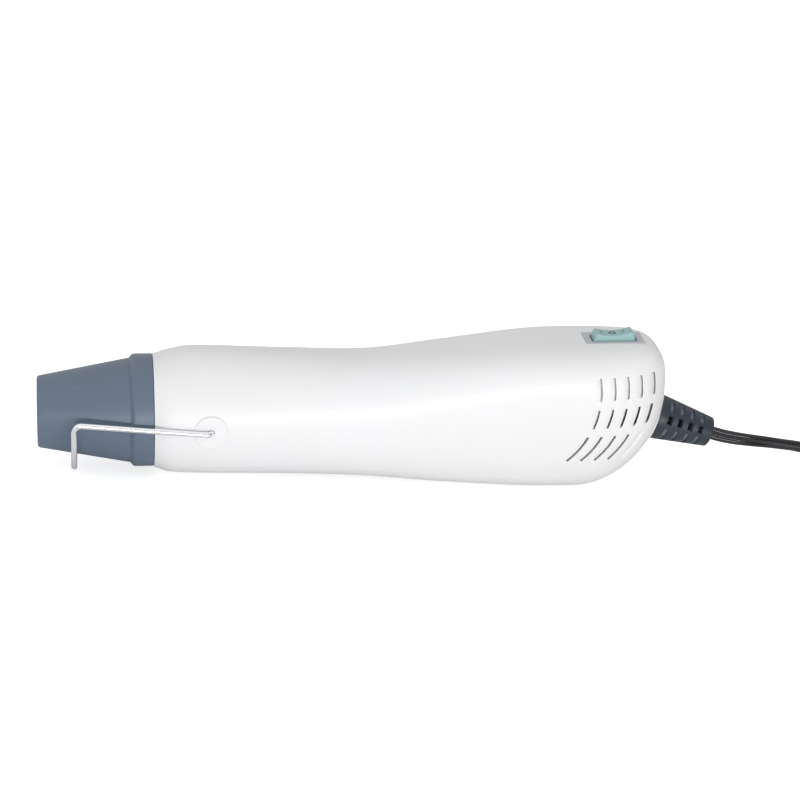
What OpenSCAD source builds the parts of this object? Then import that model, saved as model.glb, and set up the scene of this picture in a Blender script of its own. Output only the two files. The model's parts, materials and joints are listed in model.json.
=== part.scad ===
// Embossing heat tool: a hand-held hot air tool in two moulded halves, with a fan, a
// heating element, a three-way rocker switch, a folding wire stand and a mains lead.
// Tool frame: X runs from the air outlet to the back along the fan's axis, Z is up.

/* [Nozzle] */
// Length of the cone from the air outlet to the collar
cone_len = 36.2; // [30:0.1:45]
// Outside radius of the cone at the air outlet
cone_front_r = 14.1; // [13.8:0.1:15]
// Outside radius of the cone at the collar
cone_back_r = 20.7; // [19.5:0.1:21]
// Wall of the cone
cone_wall = 1; // [0.8:0.1:1.2]
// Radius of the air outlet
outlet_r = 11.4; // [11:0.1:11.6]
// Depth of the turned-in lip that forms the air outlet
lip_len = 4; // [2:0.1:6]
// Length of the collar that shows
collar_len = 9.1; // [6:0.1:12]
// Outside radius of the collar
collar_r = 22.3; // [22:0.1:23]

/* [Body] */
// Length of the two halves from the collar to the back
body_len = 205; // [200:0.5:230]
// Thickness of the moulded wall
wall = 2; // [1.6:0.1:2.2]
// Radius at the front edge
mouth_r = 22.5; // [22.3:0.1:23.5]
// Radius of the barrel
barrel_r = 25.4; // [25:0.1:26]
// Half width at the waist
waist_side = 24.8; // [24.3:0.1:26]
// Height of the top above the axis at the waist
waist_top = 22; // [21.8:0.1:23]
// Depth of the underside below the axis at the waist
waist_bottom = 28.1; // [27.5:0.1:29]
// Half width of the handle's back
heel_side = 27; // [26:0.1:28]
// Height of the top above the axis at the back
heel_top = 27.65; // [27.6:0.05:28.2]
// Depth of the underside below the axis at the back
heel_bottom = 34.1; // [33:0.1:36]

/* [Vents] */
// Number of curved columns of slots on each side
vent_columns = 5; // [3:1:5]
// Distance from one column to the next
vent_pitch = 5.6; // [4.5:0.1:6]
// Width of a slot
vent_width = 1.2; // [0.8:0.1:1.6]
// Radius of a column's curve
vent_r = 42.3; // [38:0.1:50]

/* [Wire stand] */
// Diameter of the wire
wire_d = 2.3; // [2:0.1:2.5]
// Length from the pivot to the front of the stand
stand_reach = 53; // [48:0.1:56]
// Half width at the front
stand_half = 22.9; // [22.5:0.1:24]
// Depth of the cross wire below the pivot
stand_drop = 18.9; // [18.6:0.1:19.6]
// Distance of the pivot from the body's front edge
stand_pivot_x = 21.9; // [20:0.1:25]

/* [Switch] */
// Length of the switch panel
panel_len = 24; // [23:0.1:25]
// Width of the switch panel
panel_width = 12.8; // [12:0.1:14]
// Length of the rocker
rocker_len = 17; // [15:0.1:17.4]
// Width of the rocker
rocker_width = 7; // [6:0.1:7.4]
// Height of the rocker's middle above the panel
rocker_height = 2.1; // [1.5:0.1:3]
// Height of the panel above the axis
panel_z = 27.6; // [27:0.1:27.8]

/* [Heating element] */
// Outside radius of the insulating sleeve
sleeve_r = 12.9; // [12.8:0.05:12.95]
// Wall of the insulating sleeve
sleeve_wall = 0.5; // [0.4:0.05:0.6]
// Wall of the heat shield round it
shield_wall = 0.4; // [0.3:0.05:0.5]
// Length of the sleeve and the shield
shield_len = 80; // [76:0.5:82]
// Length of the crossed plates that carry the heating wire
former_len = 66; // [60:0.5:68]
// Width of the crossed plates
former_width = 17.2; // [15:0.1:18]
// Thickness of the crossed plates
former_t = 0.8; // [0.6:0.05:1]
// Turns of the heating wire
heater_turns = 9; // [5:1:9]
// Rise of one turn of the heating wire
heater_pitch = 6; // [5:0.1:6.2]
// Radius of the curled heating wire
heater_wire_r = 0.8; // [0.6:0.05:0.9]

/* [Fan and motor] */
// Radius of the fan's blades
fan_r = 18; // [16:0.1:18.2]
// Number of blades
fan_blades = 7; // [5:1:9]
// Outside radius of the fan duct
duct_r = 19.4; // [19.2:0.1:19.6]
// Wall of the fan duct
duct_wall = 1; // [0.8:0.1:1]
// Radius of the motor
motor_r = 12; // [11.5:0.1:12.5]
// Length of the motor's can
motor_len = 28; // [26:0.5:30]
// Radius of the motor's shaft
shaft_r = 1; // [0.8:0.05:1.2]

/* [Lead] */
// Width of the flat twin lead
lead_width = 5.6; // [5:0.1:6]
// Thickness of the flat twin lead
lead_t = 2.8; // [2.4:0.1:3]
// Length of the strain relief from its inner end to its tip
relief_len = 33; // [30:0.5:36]
// Radius of the strain relief at the body
relief_root_r = 9.2; // [8.5:0.1:9.6]
// Radius of the strain relief at its tip
relief_tip_r = 6.1; // [5:0.1:7]
// Turns of the put-away lead
coil_turns = 6.5; // [4.5:1:6.5]
// Length of the plug's body
plug_len = 28; // [24:0.5:32]
// Width of the plug's body
plug_width = 22; // [20:0.5:24]
// Length of the plug's blades
blade_len = 16; // [15:0.5:18]

/* [Hidden] */
$fn = 64;

// Gaps between pieces that are only laid together, and round a turning pin
gap = 0.1;
pin_gap = 0.06;
part_gap = 0.2;

// The way the tool lies: on the barrel and the heel, with its nose a little down
body_x = cone_len + collar_len;
end_x = body_x + body_len;
shell_x = body_x + part_gap;
heel_x = end_x - 44;
bulge_x = body_x + 15.1;
waist_x = bulge_x + (heel_x - bulge_x) * 0.48;
pitch = atan((heel_bottom - barrel_r + 0.2) / (heel_x - bulge_x));

// The body's outline along the axis: place, half width, top and bottom
outline = [
  [body_x, mouth_r, mouth_r - 0.2, mouth_r + 0.3],
  [body_x + 5.1, barrel_r - 1, barrel_r - 1.7, barrel_r - 1],
  [bulge_x, barrel_r, barrel_r, barrel_r - 0.2],
  [bulge_x + 38, barrel_r - 0.5, barrel_r - 1.9, barrel_r + 1],
  [waist_x, waist_side, waist_top, waist_bottom],
  [waist_x + 33, waist_side + 1.1, waist_top + 2.5, waist_bottom + 3.4],
  [heel_x, heel_side, heel_top, heel_bottom]
];
// How high the widest line of the handle's back lies, and where each side starts to round off
heel_mid = 7.8;
round_side = [end_x - 41.5, 2.8];
round_top = [end_x - 19.6, 3.6];
round_bottom = [end_x - 34.8, 1.9];
// How square the handle's back is, as what its section's power adds to 2, and how much more the
// top has behind the waist, so that it lies level with the switch panel
square_top = 0.86;
square_heel = 0.64;
square_bottom = 0.21;

// Where the slots' curves are centred for the first column, their ends in degrees, and how far
// from the middle plane they stop
vent_x = end_x - 72.5;
vent_z = 13;
vent_slots = [[-3, 9.4], [-19.5, -8.2], [-43.3, -25]];
vent_depth = 12;
// How far a cut or a rib runs, which is past the body's widest place
beyond = 40;

function clamp01(v) = min(1, max(0, v));
function smooth(v) = clamp01(v) * clamp01(v) * (3 - 2 * clamp01(v));
function slope_at(i, c) = i <= 0 || i >= len(outline) - 1 ? 0
  : (outline[i + 1][c] - outline[i - 1][c]) / (outline[i + 1][0] - outline[i - 1][0]);
function key_at(x) = max([for (i = [0:len(outline) - 2]) if (i == 0 || outline[i][0] <= x) i]);
function blend(i, c, t, h) = (2 * pow(t, 3) - 3 * t * t + 1) * outline[i][c]
  + (pow(t, 3) - 2 * t * t + t) * h * slope_at(i, c)
  + (3 * t * t - 2 * pow(t, 3)) * outline[i + 1][c]
  + (pow(t, 3) - t * t) * h * slope_at(i + 1, c);
function along(x, c) = let (i = key_at(x), h = outline[i + 1][0] - outline[i][0])
  blend(i, c, clamp01((x - outline[i][0]) / h), h);
function round_off(x, start, inset) = let (s = clamp01((x - start[0]) / (end_x - inset - start[0])))
  pow(1 - pow(s, start[1]), 1 / start[1]);
function mid_z(x) = heel_mid * clamp01((x - waist_x) / (heel_x - waist_x));
function half_side(x, inset) = (along(x, 1) - inset) * round_off(x, round_side, inset);
function half_top(x, inset) = (along(x, 2) - inset - mid_z(x)) * round_off(x, round_top, inset);
function half_bottom(x, inset) = (along(x, 3) - inset + mid_z(x)) * round_off(x, round_bottom, inset);
function squareness(x) = smooth((x - bulge_x) / (heel_x - bulge_x));
function power(x, a) = 2 + squareness(x) * (a < 90 ? square_top : square_bottom)
  + (a < 90 ? square_heel * smooth((x - waist_x) / (heel_x - waist_x)) : 0);
// A point of the body's surface, at x and a degrees down from the top, moved in by inset
function skin(x, a, inset, side) = [x,
  side * half_side(x, inset) * pow(abs(sin(a)), 2 / power(x, a)),
  mid_z(x) + (a < 90 ? half_top(x, inset) : -half_bottom(x, inset))
    * pow(abs(cos(a)), 2 / power(x, a))];

// The rings of points along the body, closer together where it rounds off
long_rings = 17;
end_rings = 9;
skin_steps = 16;
function ring_x(i, inset) = i <= long_rings
  ? shell_x + (heel_x - shell_x) * pow(i / long_rings, 1.15)
  : heel_x + (end_x - inset - heel_x) * sin(90 * (i - long_rings) / (end_rings + 0.5));
ring_count = long_rings + end_rings + 1;
function skin_grid(inset, side) = concat(
  [for (i = [0:ring_count - 1]) for (j = [0:skin_steps])
    skin(ring_x(i, inset), 180 * j / skin_steps, inset, side)],
  [[end_x - inset, 0, heel_mid]]);
row = skin_steps + 1;
grid_size = ring_count * row + 1;

// Turns a list of triangles inside out where the half lies on the other side
function facing(faces, side) = side > 0 ? faces : [for (f = faces) [f[2], f[1], f[0]]];
function grid_faces(first, out) = facing(concat(
  [for (i = [0:ring_count - 2]) for (j = [0:skin_steps - 1]) for (k = [0, 1])
    let (p = first + i * row + j) k == 0 ? [p, p + row, p + 1] : [p + 1, p + row, p + row + 1]],
  [for (j = [0:skin_steps - 1])
    let (p = first + (ring_count - 1) * row + j) [p, first + grid_size - 1, p + 1]]), out);
function rim_point(i, j, first) = first + (i < ring_count ? i * row + j : grid_size - 1);
function rim_faces(j, out) = facing([for (i = [0:ring_count - 1]) for (k = [0, 1])
  k == 0 ? [rim_point(i, j, 0), rim_point(i, j, grid_size), rim_point(i + 1, j, 0)]
    : [rim_point(i + 1, j, 0), rim_point(i, j, grid_size), rim_point(i + 1, j, grid_size)]], out);
mouth_faces = [for (j = [0:skin_steps - 1]) for (k = [0, 1])
  k == 0 ? [j, j + 1, j + grid_size] : [j + 1, j + 1 + grid_size, j + grid_size]];
// Closes one half without its hollow: fans over the cut plane and the mouth
function plane_fan() = concat(
  [for (i = [0:ring_count - 2]) for (k = [0, 1]) let (p = i * row, q = i * row + skin_steps)
    k == 0 ? [p, q, p + row] : [p + row, q, q + row]],
  [[(ring_count - 1) * row, (ring_count - 1) * row + skin_steps, grid_size - 1]]);
function mouth_fan() = [for (j = [1:skin_steps - 1]) [0, j, j + 1]];

// Lowest line of the body when it is pitched, and how far the whole tool reaches
floor_drop = min([for (i = [0:ring_count - 1]) let (x = ring_x(i, 0))
  x * sin(pitch) + (mid_z(x) - half_bottom(x, 0)) * cos(pitch)]);

// The strain relief's axis in the tool frame: its tip and its slope
relief_slope = 18.3;
relief_tip = [end_x + 20.8, 0, -14];
relief_dir = [cos(relief_slope), 0, -sin(relief_slope)];
function relief_point(back) = relief_tip - back * relief_dir;
reach_back = (relief_tip[0] + relief_tip_r * sin(relief_slope)) * cos(pitch)
  - (relief_tip[2] + relief_tip_r * cos(relief_slope)) * sin(pitch);
lip_round = 1.2;
reach_front = -(cone_front_r - lip_round) * sin(pitch) - lip_round * (1 - cos(pitch));
tool_shift = -(reach_back + reach_front) / 2;
function placed(p) = [p[0] * cos(pitch) - p[2] * sin(pitch) + tool_shift, p[1],
  p[0] * sin(pitch) + p[2] * cos(pitch) - floor_drop];
module place() {
  translate([tool_shift, 0, -floor_drop]) rotate([0, -pitch, 0]) children();
}

// A bar along the tool's axis, a tube and a bar across it
module rod(x0, x1, r) {
  translate([x0, 0, 0]) rotate([0, 90, 0]) cylinder(h = x1 - x0, r = r);
}
module tube(x0, x1, r_out, r_in) {
  difference() {
    rod(x0, x1, r_out);
    rod(x0 - 1, x1 + 1, r_in);
  }
}
module cross_rod(x, z, y0, y1, r) {
  translate([x, y0, z]) rotate([-90, 0, 0]) cylinder(h = y1 - y0, r = r);
}
module block(low, high) {
  translate(low) cube(high - low);
}

// A tube of any section along a list of points, with one ring square to the path at each
function unit(v) = v / norm(v);
function heading(path, i) = unit(path[min(i + 1, len(path) - 1)] - path[max(i - 1, 0)]);
function flat_side(d, up) = unit(cross(d, up));
function sweep_ring(p, d, up, shape) = let (s = flat_side(d, up), u = cross(s, d))
  [for (q = shape) p + q[0] * s + q[1] * u];
function oval(width, height, sides, start) = [for (k = [0:sides - 1])
  [cos(start + 360 * k / sides) * width / 2, sin(start + 360 * k / sides) * height / 2]];
module sweep(path, shape, up) {
  n = len(shape);
  last = len(path) - 1;
  points = [for (i = [0:last]) for (q = sweep_ring(path[i], heading(path, i), up, shape)) q];
  sides = [for (i = [0:last - 1]) for (k = [0:n - 1]) for (t = [0, 1])
    let (a = i * n + k, b = i * n + (k + 1) % n)
      t == 0 ? [a, b, b + n] : [a, b + n, a + n]];
  near_end = [for (k = [1:n - 2]) [0, k + 1, k]];
  far_end = [for (k = [1:n - 2]) [last * n, last * n + k, last * n + k + 1]];
  polyhedron(points, concat(sides, near_end, far_end));
}

// Heating element, fan and motor along the axis
shield_r = sleeve_r + gap + shield_wall;
shield_x = lip_len + 0.3;
shield_end = shield_x + shield_len;
former_x = shield_end - 6 - former_len;
former_end = former_x + former_len;
heater_x = former_x + (former_len - heater_turns * heater_pitch) / 2;
heater_r = former_width / 2 + heater_wire_r + 0.5;
holder_t = 6;
holder_x = shield_end - holder_t + 1.8;
holder_end = holder_x + holder_t;
holder_r = 20.4;
duct_x = holder_end + 2;
duct_throat = 12;
duct_len = 36;
duct_end = duct_x + duct_len;
fan_x = duct_x + duct_throat + 5;
hub_len = 9;
motor_x = duct_end;
motor_end = motor_x + motor_len;
cap_len = 4;
cap_end = motor_end + cap_len;
board_x = cap_end + 2;
board_t = 1.4;
shaft_end = cap_end + 1.4;
can_wall = 1;
bushing_r = 2.4;
// How far pieces that are glued or pressed in stay from their seat
glue_gap = 0.04;

// Shell ribs along the axis: start, end and bore
rib_t = 2.5;
spigot_r = 20;
spigot_len = 6.4;
hook_t = 1.8;
mouth_rib = [shell_x + 0.6, body_x + spigot_len - hook_t - gap, spigot_r + gap];
holder_rib = [holder_x - 2.2, holder_end + 1.6, holder_r - 1.3];
duct_ribs = [[duct_x + duct_throat + 0.6, duct_r + gap], [duct_end - 4, duct_r + gap],
  [motor_end - 3, motor_r + gap]];
// Half width and floor of the channel under the fan duct that the wires run in
channel_half = 3.2;
channel_floor = wall + 0.7 - barrel_r;

// Screws that join the halves: place along the axis and height
screw_places = [[body_x + 21, 18.4], [body_x + 21, -18.8], [board_x + 12, 17.5],
  [board_x + 12, -23], [heel_x + 8, -25]];
screw_r = 1.1;
screw_boss_r = 3.2;
well_r = 3;
well_wall = 1.2;
well_floor = 7;
head_r = 2.7;
head_t = 1.8;
screw_tip = -9;

// Wire stand
wire_r = wire_d / 2;
pivot_x = body_x + stand_pivot_x;
pad_r = 6.7;
pad_y = barrel_r + 0.4;
pin_r = wire_r + 0.05;
pin_in = barrel_r - 3.4;
arm_y = pad_y + wire_r + 0.95;
stand_x = pivot_x - stand_reach;
stand_rise = 3.1;
elbow_r = 3;
loop_r = 14;
// Corner of a bent wire: points on the arc that joins two straight runs
function corner(p, a, b, r, steps) = let (turn = acos(a * b), reach = r * tan(turn / 2),
    centre = p + unit(b - a) * r / cos(turn / 2), x = (p - reach * a - centre) / r)
  [for (k = [0:steps]) centre + r * (cos(turn * k / steps) * x + sin(turn * k / steps) * a)];
function bend(path, i, r, steps) = corner(path[i], unit(path[i] - path[i - 1]),
  unit(path[i + 1] - path[i]), r, steps);
stand_path = [
  [pivot_x, -pin_in - 2.4, 0],
  [pivot_x, -arm_y, 0],
  [stand_x, -stand_half, stand_rise],
  [stand_x, -stand_half, -stand_drop],
  [stand_x, stand_half, -stand_drop],
  [stand_x, stand_half, stand_rise],
  [pivot_x, arm_y, 0],
  [pivot_x, pin_in + 2.4, 0]
];
stand_line = concat([stand_path[0]], bend(stand_path, 1, 2.2, 5), bend(stand_path, 2, elbow_r, 5),
  bend(stand_path, 3, loop_r, 8), bend(stand_path, 4, loop_r, 8), bend(stand_path, 5, elbow_r, 5),
  bend(stand_path, 6, 2.2, 5), [stand_path[7]]);

// Switch
panel_x = end_x - 21.1;
panel_t = 1.6;
panel_gap = 0.1;
housing_len = panel_len - 3;
housing_half = 5.4;
housing_z = 11;
rocker_z = panel_z - 2.1;
rocker_pin_r = 1;
slot_gap = 0.6;
lever_z = 15.4;
lever_t = 0.6;
lever_len = 13.6;
terminal_step = 6;
terminal_z = housing_z - 4.2;

// Lead: points of the free run after its straight start, as distances past the strain relief's
// tip along X and Y, and as a share of the tip's height above where the lead lies on the floor
cord_points = [[12, 0.3, 0.88], [19, 1.3, 0.83], [26, 3.2, 0.77], [33, 6, 0.69], [40, 9.3, 0.6],
  [48, 13.2, 0.47], [56, 17.6, 0.335], [64, 22.2, 0.21], [72, 26.7, 0.105], [80, 30.6, 0.037],
  [88, 33.8, 0.007], [95, 36.1, 0], [101, 37.7, 0], [106, 38.4, 0]];
coil_place = [117, 0];
coil_out_r = 38.4;
coil_step = 3.3;
coil_layer = 6.3;
coil_rings = 24;
cord_exit = placed(relief_tip);
lie_z = lead_width / 2;
cord_dir = [cos(relief_slope - pitch), 0, -sin(relief_slope - pitch)];
cord_line = concat([cord_exit, cord_exit + lead_width * cord_dir],
  [for (p = cord_points) [cord_exit[0] + p[0], p[1], lie_z + (cord_exit[2] - lie_z) * p[2]]]);
// The put-away turns: in on the floor, up a layer where they reverse, and out again
half_turns = coil_turns / 2;
function coil_r(t) = coil_out_r - coil_step * (half_turns - abs(t - half_turns));
function coil_z(t) = lie_z + coil_layer * smooth((t - half_turns + 0.25) / 0.5);
coil_centre = [cord_exit[0] + coil_place[0], coil_place[1]];
function coil_point(t) = [coil_centre[0] + coil_r(t) * cos(90 - 360 * t),
  coil_centre[1] + coil_r(t) * sin(90 - 360 * t), coil_z(t)];
coil_steps = coil_turns * coil_rings;
tail_len = 18;
coil_line = concat([coil_point(0) - [lead_width, 0, 0]],
  [for (i = [0:coil_steps]) coil_point(i / coil_rings)],
  [coil_point(coil_turns) - [lead_width, 0, 0]]);
plug_at = coil_point(coil_turns) - [lead_width + tail_len, 0, 0];
plug_relief_len = 12;
plug_t = 2 * plug_at[2];

// Section of the flat lead, with eight sides, and with six for the put-away turns
side_h = lead_width * 0.28;
lead_shape = [for (q = [[1, -1], [1, 1], [0.5, 1.8], [-0.5, 1.8], [-1, 1], [-1, -1], [-0.5, -1.8],
  [0.5, -1.8]]) [q[0] * lead_t / 2, sign(q[1]) * (abs(q[1]) > 1 ? lead_width / 2 : side_h)]];
coil_shape = [for (q = [[1, -1], [1, 1], [0, 2], [-1, 1], [-1, -1], [0, -2]])
  [q[0] * lead_t / 2, sign(q[1]) * (abs(q[1]) > 1 ? lead_width / 2 : side_h)]];

// Least distance between the faces of turns that pass each other, worked out on the points:
// past the flat sides, over the edges, or past the slanted faces
slant = unit([lead_width / 2 - side_h, lead_t / 2]);
function turn_gap(i, k) = let (p = coil_line[i], q = coil_line[k],
    flat = norm([p[0] - q[0], p[1] - q[1]]), up = abs(p[2] - q[2]))
  max(flat - lead_t, up - lead_width, flat * slant[0] + (up - lead_width) * slant[1]);
least_gap = min([for (i = [0:len(coil_line) - 1]) for (k = [i + coil_rings / 2:len(coil_line) - 1])
  turn_gap(i, k)]);
function run(path, i) = i == 0 ? 0 : norm(path[i] - path[i - 1]) + run(path, i - 1);
echo(coil_gap = least_gap);
echo(lead_length = run(cord_line, len(cord_line) - 1) + run(coil_line, len(coil_line) - 1)
  + norm(coil_line[0] - cord_line[len(cord_line) - 1]) + tail_len);
echo(exit = cord_exit, pitch = pitch, shift = tool_shift, drop = floor_drop);
echo(pivot = placed([pivot_x, 0, 0]), rocker = placed([panel_x, 0, rocker_z]), outlet = placed([0, 0, 0]));

white = [0.93, 0.93, 0.93];
slate = [0.42, 0.46, 0.52];
mint = [0.58, 0.73, 0.72];
steel = [0.76, 0.76, 0.78];
black = [0.16, 0.17, 0.18];
mica = [0.72, 0.66, 0.52];
copper = [0.72, 0.45, 0.25];

// One moulded half: the hollow skin, and the solid that its inner parts are cut to
module half_skin(side) {
  polyhedron(concat(skin_grid(0, side), skin_grid(wall, side)),
    concat(grid_faces(0, -side), grid_faces(grid_size, side), rim_faces(0, -side),
      rim_faces(skin_steps, side), facing(mouth_faces, -side)));
}
module half_fill(side) {
  polyhedron(skin_grid(wall / 2, side), concat(grid_faces(0, -side),
    facing(plane_fan(), -side), facing(mouth_fan(), -side)));
}
module rib(from, to, bore_r) {
  difference() {
    block([from, -beyond, -beyond], [to, beyond, beyond]);
    rod(from - 1, to + 1, bore_r);
  }
}
module relief_bar(back0, back1, r) {
  translate(relief_point(back1)) rotate([0, 90 + relief_slope, 0]) cylinder(h = back1 - back0, r = r);
}

// What stands inside a half, before it is cut to the skin
module inner_parts() {
  rib(mouth_rib[0], mouth_rib[1], mouth_rib[2]);
  difference() {
    rib(holder_rib[0], holder_rib[1], holder_rib[2]);
    rod(holder_x - gap, holder_end + gap, holder_r + gap);
  }
  for (r = duct_ribs) rib(r[0], r[0] + rib_t, r[1]);
  block([panel_x - panel_len / 2 - 2, -9, panel_z - panel_t - 3], [panel_x + panel_len / 2 + 2, 9, beyond]);
  difference() {
    relief_bar(relief_len - 12, relief_len + 1.5, relief_root_r + 3.6);
    relief_bar(relief_len - 2.6, relief_len + 0.2, relief_root_r + 1.7);
  }
  for (s = screw_places) cross_rod(s[0], s[1], -beyond, beyond, screw_boss_r);
  for (s = [-1, 1]) cross_rod(pivot_x, 0, s > 0 ? pin_in - 2 : -beyond, s > 0 ? beyond : 2 - pin_in, 4);
}

// Cuts that both halves share
module shared_cuts() {
  block([panel_x - panel_len / 2 - panel_gap, -panel_width / 2 - panel_gap, panel_z - panel_t - glue_gap],
    [panel_x + panel_len / 2 + panel_gap, panel_width / 2 + panel_gap, beyond]);
  block([panel_x - housing_len / 2 - gap, -housing_half - gap, housing_z],
    [panel_x + housing_len / 2 + gap, housing_half + gap, beyond]);
  relief_bar(-20, relief_len + 3, relief_root_r + gap);
  block([holder_end, -channel_half, channel_floor], [motor_end + 4, channel_half, 1 - duct_r]);
  cross_rod(pivot_x, 0, -beyond, beyond, pin_r + pin_gap);
}

// The slots of one column, on both sides. The last column has no low slot.
module vent_column(column) {
  low = column < vent_columns - 1 || vent_columns < 5 ? 2 : 1;
  for (i = [0:low]) let (a = vent_slots[i])
    translate([vent_x + column * vent_pitch, 0, vent_z]) rotate([90, 0, 0]) rotate([0, 0, a[0]])
      rotate_extrude(angle = a[1] - a[0]) translate([vent_r - vent_width / 2, -beyond])
        square([vent_width, 2 * beyond]);
}
module vents(side) {
  intersection() {
    block([vent_x, side < 0 ? -beyond : vent_depth, -beyond],
      [end_x, side < 0 ? -vent_depth : beyond, beyond]);
    union() {
      for (i = [0:vent_columns - 1]) vent_column(i);
    }
  }
}

module left_shell() {
  color(white) place() difference() {
    union() {
      half_skin(-1);
      intersection() {
        half_fill(-1);
        inner_parts();
      }
      cross_rod(pivot_x, 0, -pad_y, -pin_in, pad_r);
      clamp_posts();
    }
    shared_cuts();
    vents(-1);
    for (s = screw_places) cross_rod(s[0], s[1], screw_tip - 1, 1, screw_r + pin_gap);
    for (p = clamp_places) cross_rod(p[0], p[2], -clamp_half - clamp_screw_in - 1.9, 0, clamp_screw_r + 0.05);
  }
}

module right_shell() {
  color(white) place() difference() {
    union() {
      half_skin(1);
      intersection() {
        half_fill(1);
        union() {
          inner_parts();
          for (s = screw_places) cross_rod(s[0], s[1], 0, beyond, well_r + well_wall);
        }
      }
      cross_rod(pivot_x, 0, pin_in, pad_y, pad_r);
    }
    shared_cuts();
    vents(1);
    for (s = screw_places) cross_rod(s[0], s[1], -1, well_floor + 1, screw_r + 0.3);
    for (s = screw_places) cross_rod(s[0], s[1], well_floor, beyond, well_r);
  }
}

module shell_screws() {
  color(steel) place() for (s = screw_places) difference() {
    union() {
      cross_rod(s[0], s[1], screw_tip, well_floor, screw_r);
      cross_rod(s[0], s[1], well_floor, well_floor + head_t, head_r);
    }
    for (a = [0, 90]) translate([s[0], well_floor + head_t, s[1]]) rotate([0, a, 0])
      cube([3, 1.8, 0.6], center = true);
  }
}

module nozzle_cone() {
  color(slate) place() rotate([0, 90, 0]) rotate_extrude() difference() {
    union() {
      polygon([[outlet_r, 0], [cone_front_r - lip_round, 0], [cone_front_r, lip_round],
        [cone_back_r, cone_len], [cone_back_r, cone_len + 5.4],
        [cone_back_r - cone_wall, cone_len + 5.4], [cone_back_r - cone_wall, cone_len],
        [cone_front_r - cone_wall, lip_round], [outlet_r + 0.6, lip_round], [outlet_r + 0.6, lip_len],
        [outlet_r, lip_len]]);
      translate([cone_front_r - lip_round, lip_round]) circle(r = lip_round);
    }
    translate([outlet_r - 3, -3]) square([3, 12]);
  }
}

module nozzle_collar() {
  edge = min(1.5, collar_r - cone_back_r - 0.1);
  color(slate) place() rotate([0, 90, 0]) rotate_extrude() polygon([
    [cone_back_r + 0.05, cone_len + part_gap], [collar_r - edge, cone_len + part_gap],
    [collar_r, cone_len + part_gap + edge], [collar_r, body_x],
    [spigot_r, body_x], [spigot_r, body_x + spigot_len - hook_t],
    [spigot_r + 0.7, body_x + spigot_len - hook_t], [spigot_r + 0.7, body_x + spigot_len],
    [spigot_r - 1.6, body_x + spigot_len], [spigot_r - 1.6, cone_len + 5.6],
    [cone_back_r + 0.05, cone_len + 5.6]]);
}

module wire_stand() {
  color(steel) place() {
    sweep(stand_line, oval(wire_d, wire_d, 10, 18), [0.31, 0.11, 0.94]);
    cross_rod(pivot_x, 0, -pin_in - 4.4, -pin_in, pin_r);
    cross_rod(pivot_x, 0, pin_in, pin_in + 4.4, pin_r);
  }
}

module heat_shield() {
  color(steel) place() tube(shield_x, shield_end, shield_r, sleeve_r + gap);
}

module mica_sleeve() {
  color(mica) place() tube(shield_x, shield_end, sleeve_r, sleeve_r - sleeve_wall);
}

// One crossed plate: half of its middle is cut away from one end so that the other enters
module mica_plate(half_y, half_z, cut_from, cut_to) {
  difference() {
    block([former_x, -half_y, -half_z], [former_end, half_y, half_z]);
    block([cut_from, -former_t / 2 - 0.05, -former_t / 2 - 0.05],
      [cut_to, former_t / 2 + 0.05, former_t / 2 + 0.05]);
  }
}
former_mid = former_x + former_len / 2;

module mica_plate_upright() {
  color(mica) place() mica_plate(former_t / 2, former_width / 2, former_mid, former_end + 1);
}

module mica_plate_flat() {
  color(mica) place() mica_plate(former_width / 2, former_t / 2, former_x - 1, former_mid);
}

module mica_spiders() {
  spider_t = 1.2;
  ring_r = sleeve_r - sleeve_wall - gap;
  color(mica) place() for (x = [former_x + 1, former_end - 1 - spider_t]) difference() {
    union() {
      tube(x, x + spider_t, ring_r, ring_r - 1.3);
      for (a = [0, 90]) rotate([a, 0, 0])
        block([x, -1.6, -ring_r + 0.6], [x + spider_t, 1.6, ring_r - 0.6]);
    }
    for (a = [0, 90]) rotate([a, 0, 0])
      block([x - 1, -former_t / 2 - 0.05, -former_width / 2 - 0.05],
        [x + spider_t + 1, former_t / 2 + 0.05, former_width / 2 + 0.05]);
  }
}

module heating_wire() {
  rings = 20;
  turns = [for (i = [0:heater_turns * rings]) let (a = 360 * i / rings)
    [heater_x + heater_pitch * i / rings, heater_r * cos(a), heater_r * sin(a)]];
  color(steel) place() sweep(turns, oval(2 * heater_wire_r, 2 * heater_wire_r, 6, 0), [1, 0, 0]);
}

module thermal_cutout() {
  color("white") place() difference() {
    block([former_end, -3.2, -3.6], [former_end + 9, 3.2, 3.6]);
    block([former_end + 1.5, -2, 1.6], [former_end + 9.1, 2, 3.7]);
  }
}

module cutout_strip() {
  color(copper) place() {
    block([former_end + 1.5, -1.6, 1.6], [former_end + 3.5, 1.6, 2.6]);
    block([former_end + 1.5, -1.6, 2.6], [former_end + 8.6, 1.6, 3.1]);
  }
}

module element_holder() {
  color(mica) place() difference() {
    rod(holder_x, holder_end, holder_r);
    rod(holder_x - 1, shield_end + gap, shield_r + gap);
    rod(holder_x - 1, holder_end + 1, sleeve_r - sleeve_wall - 0.6);
  }
}

module fan_duct() {
  outer = duct_r;
  inner = duct_r - duct_wall;
  throat = sleeve_r - sleeve_wall - 0.4;
  color(black) place() {
    rotate([0, 90, 0]) rotate_extrude() polygon([[throat, duct_x], [throat + duct_wall, duct_x],
      [outer, duct_x + duct_throat - 1], [outer, duct_end], [inner, duct_end],
      [inner, duct_x + duct_throat], [throat, duct_x + 1]]);
    difference() {
      tube(duct_end - 3, duct_end, 6.4, 3.4);
      for (a = [0, 180]) rotate([a, 0, 0]) translate([0, 0, 5]) rod(duct_end - 4, duct_end + 1, 0.5);
    }
    for (a = [0:120:240]) rotate([a + 30, 0, 0])
      block([duct_end - 3, -1.5, 6], [duct_end, 1.5, inner + 0.5]);
  }
}

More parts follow.
